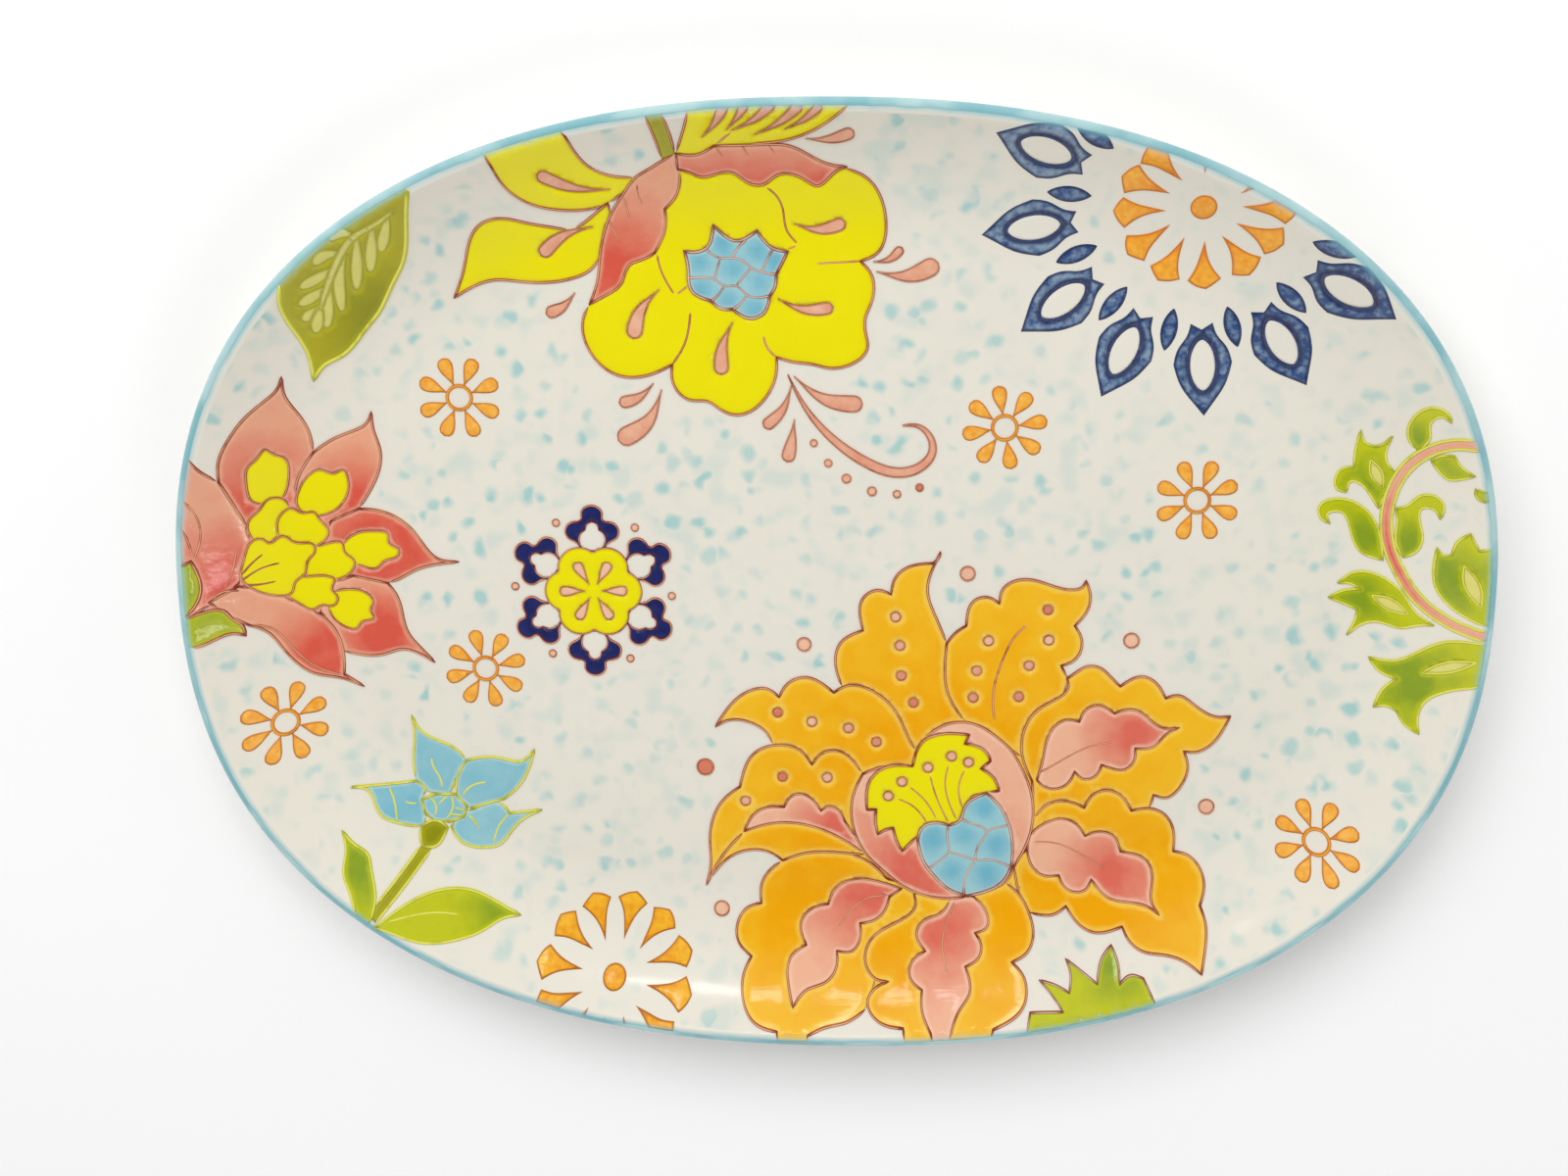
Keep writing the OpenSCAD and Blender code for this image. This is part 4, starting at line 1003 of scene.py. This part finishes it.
def flares(family, centre, angles):
    """Hammer-headed petals round a dot, deepest in colour towards it."""
    m = Motif(family, "", 0)
    m.patch("flare", 0.5, disc(centre, 3.8))
    for k, a in enumerate(angles):
        m.patch("flare", lambda q: 0.95 - 0.045 * (math.dist(q, centre) - 8), turned(
            centre, a, (10.7, -0.6 + 0.5 * (k % 3)), [(16, -1.3), (19.4, -2.6), (21.8, -4.1), (22.9, -4.9)],
            [(24.7, -2.9), (26, -0.8 + 1.2 * (k % 2))], [(24.8, 2.4), (22.9, 4.9)],
            [(21.6, 3.9), (19.2, 2.4), (16, 1.2)],
        ))
    m.paint()


def lens(centre, angle, out, long, wide, point=0.2):
    """An oval with pointed ends, set out from a centre at an angle in degrees."""
    turns = np.radians(np.arange(0, 360, 12))
    across = wide * np.sin(turns) * np.abs(np.sin(turns)) ** point
    return Outline(local(centre, angle, zip(out + long * np.cos(turns), across)))


def navy_rosette():
    centre = (110.2, 119.4)
    m = Motif("navy", "", 0)
    foot, half = [(36.6, 3.3)], [(40.5, 4.6), (44, 7.2), (49, 8.9)]
    tip = [(49, 8.8), (56, 6.6), (61, 3.2), (65.3, 0)]
    for k in range(-4, 3):
        a = -86 + 28.4 * k
        outer = turned(centre, a, (38.6, 0), foot, half, tip[1:], mirrored(tip), mirrored(foot + half), [])
        m.patch("petal", 0.15 + 0.11 * (k + 4), outer, height=0.3)
        m.patch("edge", 0.5, lens(centre, a, 49.4, 9.0, 4.6), height=0.34)
        m.patch("window", 0.0, lens(centre, a, 49.6, 7.9, 3.8), height=0.12)
    m.paint()
    for k in range(-4, 4):
        m.patch("lozenge", 0.7, lens(centre, -100.5 + 28 * k, 39.2, 6.6, 2.5, 0.7), height=0.3)
    m.paint()
    flares("navy", centre, [-226, -201, -174, -144, -114, -84, -52, -25, 2, 30, 60, 94])


def olive_leaf():
    m = Motif("olive", "olive_leaf", 0.0)
    blades = [
        [(-131.3, 115.5), (-135.1, 104.9)],
        [(-136.1, 113), (-139.1, 98.5)],
        [(-140.9, 109.8), (-143.8, 93)],
        [(-145.2, 105.1), (-148, 96.6), (-148.8, 86.1)],
        [(-151.2, 94.7), (-153.8, 81)],
        [(-141.5, 110.4), (-145.5, 111.6), (-148.2, 109.4)],
        [(-146.1, 105), (-150, 105), (-154, 101.8)],
        [(-149, 100.1), (-159, 94.6)],
        [(-151.9, 94), (-160.2, 89)],
        [(-154.6, 87.9), (-160.2, 83.9)],
        [(-154.6, 87.9), (-157.3, 79.5)],
    ]
    m.area("leaf", toward((-139, 84), 3, 20), (-159.6, 64.3), [(-156, 69), (-151, 71.6), (-143, 80),
        (-138, 86), (-133.6, 94), (-129.6, 101), (-126, 117), (-124.3, 124)], (-130, 132), (-160, 118),
        (-170, 104), [(-164.3, 98), (-165, 91), (-160.2, 73.5)], width=1.7)
    for blade in blades:
        m.patch("vein", 0.4, ribbon(blade, lambda u: 1.1 + 2.3 * math.sin(math.pi * u ** 1.4) ** 0.6),
            height=0.4)
    m.patch("vein", 0.2, ribbon([(-129.9, 117.5), (-136, 113.3), (-141.5, 110.2), (-146.3, 104.5),
        (-154.9, 87.2)], lambda u: 0.8 + 1.2 * math.sin(math.pi * u) ** 0.5), height=0.45)
    m.paint()


def vine():
    m = Motif("vine", "vine", 1.0)
    m.area("leaf", toward((178, 49), 2, 9), (178, 46),
        [(175.4, 49.5), (177, 58.3), (181, 60.6), (184.6, 59), (185.6, 56.6)],
        [(183, 58), (180.4, 55.5), (180.8, 51)])
    m.area("leaf", toward((167, 32), 3, 14), (169, 26.5),
        [(166, 31), (163, 34), (160.6, 34.6), (159.3, 31)],
        [(156.5, 31.8), (155.8, 35), (158, 38.4), (161, 39)], [(161, 44), (162, 50.8)],
        [(163.6, 47), (166.6, 46)], [(168.6, 47), (170.8, 49.8)], [(170.3, 41), (172.6, 38.6)], [])
    m.area("leaf", toward((165, 16), 3, 14), (171.4, 10),
        [(165, 12), (162, 17), (157, 24.8), (154, 23.6), (155, 20.8)],
        [(152, 22.6), (151.6, 26), (155, 28.3), (166, 25)])
    m.area("leaf", toward((178, 15), 3, 12), (177, 11.6), [(174.7, 16), (174.6, 22), (174, 26.8)],
        [(177, 28.2), (180, 31.6), (184, 32.3), (186.4, 30), (186, 25.4)],
        [(184, 28.2), (181, 28), (180.5, 24), (181.8, 18), (180, 13.4)])
    m.area("leaf", 0.5, (182, 43.5), [(184.5, 45.5), (187.6, 46)], [(190, 42.6), (193.2, 40.7)],
        [(190, 39), (187, 38.3), (184.3, 40.4)])
    m.area("leaf", 0.4, (194, 36.6), (197, 36), (203, 36.4), (202, 33), (196.5, 33), [(194.6, 34)])
    m.area("leaf", toward((165, -4), 3, 14), (186.5, -8.6),
        [(181, -5), (178, -0.6), (163, 5), (158.8, 1.6)], [(162.4, 1.6), (165.6, 0)],
        [(160, -1), (156.2, -3.2)], (165, -6.6), [(164.6, -10), (162.5, -15)],
        [(166, -11.6), (171, -10), (178, -11), (182, -9.6)])
    m.area("leaf", toward((188, 6), 4, 15), (206, -6.5), [(191, -2), (187, 2.4), (186, 16)],
        [(187.6, 14), (190, 14.6)], [(191, 19), (194, 22.2)], (196.5, 17.4), (202, 19.8), (208, 10), [])
    m.area("leaf", toward((180, -27), 4, 18), (206, -11.5), [(188, -14.2), (176, -22), (169.3, -21.8)],
        [(172.6, -25.8), (177.6, -27.4)], [(174, -31), (171.4, -37.3)], [(175, -36.4), (178, -37.6)],
        [(180, -41), (184, -43.2)], [(183.6, -38), (185.4, -33), (190, -29), (205, -23)], [])
    for a, b, w in [((165.6, 41.6), (169.6, 33), 3.4), ((169, -1.8), (179.6, -6.4), 3.6),
        ((193.2, 12), (198.2, 0), 4), ((184.4, -24.2), (198, -17.4), 3)]:
        m.patch("eye", 0.2, ribbon([a, b], lambda u, w=w: 0.1 + w * math.sin(math.pi * u)), width=0.8)
    m.patch("stem", toward((174, 12), 8, 24), ribbon([(200, 48.5), (190, 50.2), (178, 43.4), (172, 30),
        (173, 14), (176.4, 6.6), (181.4, -0.6), (194, -8), (206, -9)], lambda u: 3.0), width=1.2)
    m.paint()


def daisies():
    m = Motif("daisy", "", 0)
    turns = np.radians(np.arange(0, 360, 12))
    for centre, turn in (
        ((-115.5, 58), 22), ((54, 50), 10), ((114, 27.5), 24), ((-110.5, -30.5), 15), ((-174.5, -47), 26),
        ((155.5, -81.5), 22),
    ):
        for k in range(8):
            m.patch("petal", 0.4, drop(*local(centre, turn + 45 * k, [(11, 0), (3.4, 0)]), 2.3))
        m.paint(grid=1.2)
        ring = around(centre, 3.8, turns)
        ridge_solid(PIECES["daisy_ring_lines"], ring, True, 1.3, 0.6, np.zeros(len(ring)))


yellow_bloom()
spray()
coral_bloom()
orange_bloom()
blue_flower()
star_rosette()
navy_rosette()
flares("orange", (-69.5, -131.8), range(-43, 317, 30))
olive_leaf()
vine()
daisies()

# piece: material, the CAD node that it stands for, and the slot if it isn't the material's
FINISH = {
    "yellow_petal_glaze": ("lemon", "yellow_bloom_petals"),
    "yellow_sepal_glaze": ("coral", "yellow_bloom_sepals"),
    "yellow_berry_glaze": ("blue", "yellow_bloom_berries"),
    "yellow_leaf_glaze": ("lemon", "yellow_bloom_leaves"),
    "yellow_stem_glaze": ("olive", "yellow_bloom_stem"),
    "yellow_drop_glaze": ("salmon", "yellow_bloom_drops"),
    "yellow_bloom_lines": ("brown_slip", "yellow_bloom_slip"),
    "yellow_bloom_cells": ("rose_slip", None),
    "spray_drop_glaze": ("salmon", "spray_drops"),
    "spray_curl_glaze": ("salmon", "spray_curl"),
    "spray_dot_glaze": ("salmon", "spray_dots"),
    "spray_lines": ("brown_slip", None),
    "coral_petal_glaze": ("coral", "coral_bloom_petals"),
    "coral_stamen_glaze": ("lemon", "coral_bloom_stamens"),
    "coral_leaf_glaze": ("lime", "coral_bloom_leaves"),
    "coral_bloom_lines": ("brown_slip", "coral_bloom_slip"),
    "orange_petal_glaze": ("amber", "orange_bloom_petals"),
    "orange_inner_glaze": ("blush", "orange_bloom_inner_leaves"),
    "orange_throat_glaze": ("blush", "orange_bloom_throat"),
    "orange_fan_glaze": ("lemon", "orange_bloom_fan"),
    "orange_berry_glaze": ("blue", "orange_bloom_berries"),
    "orange_dot_glaze": ("salmon", "orange_bloom_dots"),
    "orange_bloom_lines": ("brown_slip", "orange_bloom_slip"),
    "orange_bloom_cells": ("rose_slip", None),
    "field_dot_glaze": ("salmon", "scattered_dots"),
    "tuft_glaze": ("lime", "green_tuft"),
    "blue_petal_glaze": ("blue", "blue_flower_petals"),
    "blue_stem_glaze": ("olive", "blue_flower_calyx_stem"),
    "blue_leaf_glaze": ("lime", "blue_flower_leaves"),
    "blue_flower_lines": ("lime_slip", "blue_flower_slip"),
    "star_centre_glaze": ("lemon", "star_rosette_centre"),
    "star_point_glaze": ("navy", "star_rosette_points"),
    "star_window_glaze": ("ivory", None),
    "star_rosette_lines": ("brown_slip", None),
    "star_drop_glaze": ("salmon", None),
    "navy_petal_glaze": ("slate", "navy_rosette_petals"),
    "navy_edge_glaze": ("ink", None),
    "navy_window_glaze": ("ivory", None),
    "navy_lozenge_glaze": ("slate", "navy_rosette_lozenges", "navy_glaze"),
    "navy_flare_glaze": ("flare", "navy_rosette_flares"),
    "orange_flare_glaze": ("gold", "orange_rosette_flares"),
    "olive_leaf_glaze": ("olive", "olive_leaf"),
    "olive_vein_glaze": ("vein", "olive_leaf_veins"),
    "olive_leaf_lines": ("lime_slip", None),
    "vine_leaf_glaze": ("lime", "vine_leaves"),
    "vine_eye_glaze": ("vein", None),
    "vine_stem_glaze": ("coral", "vine_stem"),
    "vine_lines": ("lime_slip", None),
    "daisy_petal_glaze": ("daisy", "daisy_petals"),
    "daisy_ring_lines": ("amber_slip", "daisy_rings"),
}
# the slot of a material, where it isn't the material's own name
SLOTS = {
    "blush": "coral_glaze", "rose_slip": "brown_slip", "ink": "navy_glaze", "flare": "amber_glaze",
    "gold": "amber_glaze", "daisy": "amber_glaze", "amber_slip": "amber_glaze", "vein": "lime_slip",
}
for name, (material, node, *slot) in FINISH.items():
    own = material if material in SLIPS else material + "_glaze"
    PIECES[name].piece(name, material, *slot or [SLOTS.get(material, own)], node)

# ---------------------------------------------------------------- the fired dish


AROUND = 384


def ring_at(d, z, scale=1.0, count=AROUND):
    """An oval ring of vertices at d from the rim, scaled down. z is a height or gives it at (x, y)."""
    x, y = oval(d, count)
    x, y = x * scale, y * scale
    return np.column_stack([x, y, z(x, y) if callable(z) else np.full(count, z)])


def lofted(rows, count, closed=False):
    """Quads between one ring and the next."""
    faces = []
    for r in range(rows if closed else rows - 1):
        a, b = r * count, (r + 1) % rows * count
        faces += [(a + i, b + i, b + (i + 1) % count, a + (i + 1) % count) for i in range(count)]
    return faces


def dish():
    """The body: a fine inside surface that carries the sponged field, the lip and the underside."""
    middle = 0.012
    rings = [
        ring_at(WELL_INSET, lambda x, y: FLOOR_Z + ripple(x, y), f) for f in np.linspace(middle, 1, 62)[:-1]
    ]
    for d in np.linspace(WELL_INSET, WALL_D, 24):
        fade = min(1, (d - WALL_D) / 3)
        rings.append(ring_at(d, lambda x, y: wall_z(d) + fade * ripple(x, y)))
    top = len(rings) * AROUND
    for a in np.linspace(LIP_ANGLE, LIP_ANGLE - math.pi, 31)[1:]:
        rings.append(ring_at(LIP_D + LIP_R * math.sin(a), LIP_Z + LIP_R * math.cos(a)))
    for d in np.linspace(WALL_D, WELL_INSET, 20)[1:]:
        slope = math.atan(2 * WALL_RISE * (WELL_INSET - d) / (WELL_INSET - WALL_D) ** 2)
        rings.append(ring_at(d - WALL_T * math.sin(slope), wall_z(d) - WALL_T * math.cos(slope)))
    sag = 0.5
    rings += [ring_at(WELL_INSET, FOOT_TOP + sag * (1 - f) ** 2, f) for f in np.linspace(1, middle, 30)[1:]]
    verts = np.vstack(rings)
    faces = [(a, d, c, b) for a, b, c, d in lofted(len(rings), AROUND)]
    faces.append(tuple(range(AROUND - 1, -1, -1)))
    faces.append(tuple(range(len(verts) - AROUND, len(verts))))
    drawn = np.vstack(DRAWN)
    tree = kdtree.KDTree(len(drawn))
    for i, (x, y) in enumerate(drawn):
        tree.insert((x, y, 0), i)
    tree.balance()
    gap = np.array([tree.find((x, y, 0))[2] for x, y, _ in verts[:top]])
    clear, fade_in = 1.8, 2.4
    field = np.zeros(len(verts))
    field[:top] = np.clip((gap - clear) / fade_in, 0, 1)
    run = wiped(verts[:, 0], verts[:, 1]) * (verts[:, 2] > LIP_Z - LIP_R)
    values = {"field": field, "wipe": run}
    build_mesh("dish_body", verts, faces, "ivory", "ivory_glaze", "platter_body", values)


def rim_band():
    """A thin skin over the lip, from its crest to under the outside, feathered at both edges."""
    first, last = math.asin((CUT_D - LIP_D) / LIP_R), -math.radians(150)
    turns = np.linspace(first, last, 31)
    skin = BAND_T * np.clip(np.minimum(first - turns, turns - last) / 0.35, 0.3, 1)
    over = [*zip(turns, skin), *((a, -0.1) for a in turns[::-1])]
    rings = [ring_at(LIP_D + (LIP_R + t) * math.sin(a), LIP_Z + (LIP_R + t) * math.cos(a)) for a, t in over]
    band = np.clip((1 - np.linspace(0, 1, len(turns))) / 0.5, 0, 1)
    values = {"band": np.repeat(np.concatenate([band, band[::-1]]), AROUND)}
    faces = lofted(len(rings), AROUND, closed=True)
    build_mesh("rim_band_glaze", np.vstack(rings), faces, "rim", "turquoise_glaze", "rim_band", values)


def foot():
    """The foot ring: a round-edged section swept round its oval, with a fillet into the dish."""
    d0 = HALF_L - FOOT_L
    d1 = d0 + FOOT_W
    r, count = 1.1, 256
    fillet = [(0.9, 0.2), (0.3, -0.6), (0, -1.6)]
    bend = np.linspace(0, math.pi / 2, 6)
    section = [(d0 - out, FOOT_TOP + up) for out, up in fillet]
    section += [(d0 + r - r * math.cos(a), r - r * math.sin(a)) for a in bend]
    section += [(d1 - r + r * math.sin(a), r - r * math.cos(a)) for a in bend]
    section += [(d1 + out, FOOT_TOP + up) for out, up in fillet[::-1]]
    verts = np.vstack([ring_at(d, z, count=count) for d, z in section[::-1]])
    faces = lofted(len(section), count, closed=True)
    build_mesh("foot_ring_clay", verts, faces, "clay", "bare_foot", "foot_ring", {})


dish()
rim_band()
foot()

# ---------------------------------------------------------------- floor, light and camera


def studio():
    scene = bpy.context.scene
    scene.view_settings.view_transform = "Standard"
    mesh = bpy.data.meshes.new("floor")
    radius = 1.5
    turns = [math.radians(a) for a in range(0, 360, 3)]
    ring = [(radius * math.cos(a), radius * math.sin(a), 0) for a in turns]
    mesh.from_pydata(ring, [], [tuple(range(len(ring)))])
    floor = bpy.data.objects.new("floor", mesh)
    floor.location.z = -0.1 * MM
    scene.collection.objects.link(floor)
    sh = Shader("floor_paper", roughness=0.9)
    sh.colour(sh.mix(sh.noise(400.0), (253, 253, 253), (250, 250, 250)))
    mesh.materials.append(sh.material)
    sky()
    for name, place, size, power, shows in (
        ("key", (-0.3, 1.0, 1.3), (1.4, 1.0), 20.0, False),
        ("fill", (0.5, -1.2, 1.3), (1.0, 1.0), 6.0, False),
        ("strip", (-0.01, 1.05, 1.15), (0.26, 0.07), 0.55, True),
        ("sparkle", (-0.7, 0.9, 1.1), (0.08, 0.08), 0.08, True),
        ("side", (1.4, -0.5, 0.9), (0.06, 0.5), 0.8, True),
    ):
        data = bpy.data.lights.new(name, "AREA")
        data.shape, data.size, data.size_y, data.energy = "RECTANGLE", size[0], size[1], power
        light = bpy.data.objects.new(name, data)
        light.location = place
        light.rotation_euler = (-Vector(place)).to_track_quat("-Z", "Y").to_euler()
        light.visible_glossy = shows
        scene.collection.objects.link(light)


def sky():
    """White all round and dimmer overhead, so that flat glaze keeps its depth of colour."""
    world = bpy.data.worlds.new("studio")
    world.use_nodes = True
    tree = world.node_tree
    back = tree.nodes["Background"]
    back.inputs["Color"].default_value = (1, 1, 1, 1)
    split = tree.nodes.new("ShaderNodeSeparateXYZ")
    tree.links.new(tree.nodes.new("ShaderNodeTexCoord").outputs["Generated"], split.inputs[0])
    fall = tree.nodes.new("ShaderNodeMapRange")
    tree.links.new(split.outputs["Z"], fall.inputs["Value"])
    for key, v in (("From Min", 0.3), ("From Max", 0.95), ("To Min", 0.8), ("To Max", 0.12)):
        fall.inputs[key].default_value = v
    tree.links.new(fall.outputs["Result"], back.inputs["Strength"])
    bpy.context.scene.world = world


def camera():
    """Looks down on the platter from beyond its top edge, as the photograph does."""
    data = bpy.data.cameras.new("view")
    data.lens, data.sensor_width = 54.0, 36.0
    tilt, turn, roll = math.radians(16.02), math.radians(-3.01), math.radians(0.13)
    turns = Matrix.Rotation(tilt, 3, "X") @ Matrix.Rotation(turn, 3, "Y") @ Matrix.Rotation(roll, 3, "Z")
    back = turns.transposed()
    seen_at = Vector((13.35, -3.06, -724.57)) * MM
    place = -(back @ seen_at) + Vector((0, 0, LIP_Z * MM))
    cam = bpy.data.objects.new("view", data)
    cam.matrix_world = Matrix.Translation(place) @ back.to_4x4()
    bpy.context.scene.collection.objects.link(cam)
    bpy.context.scene.camera = cam


studio()
camera()
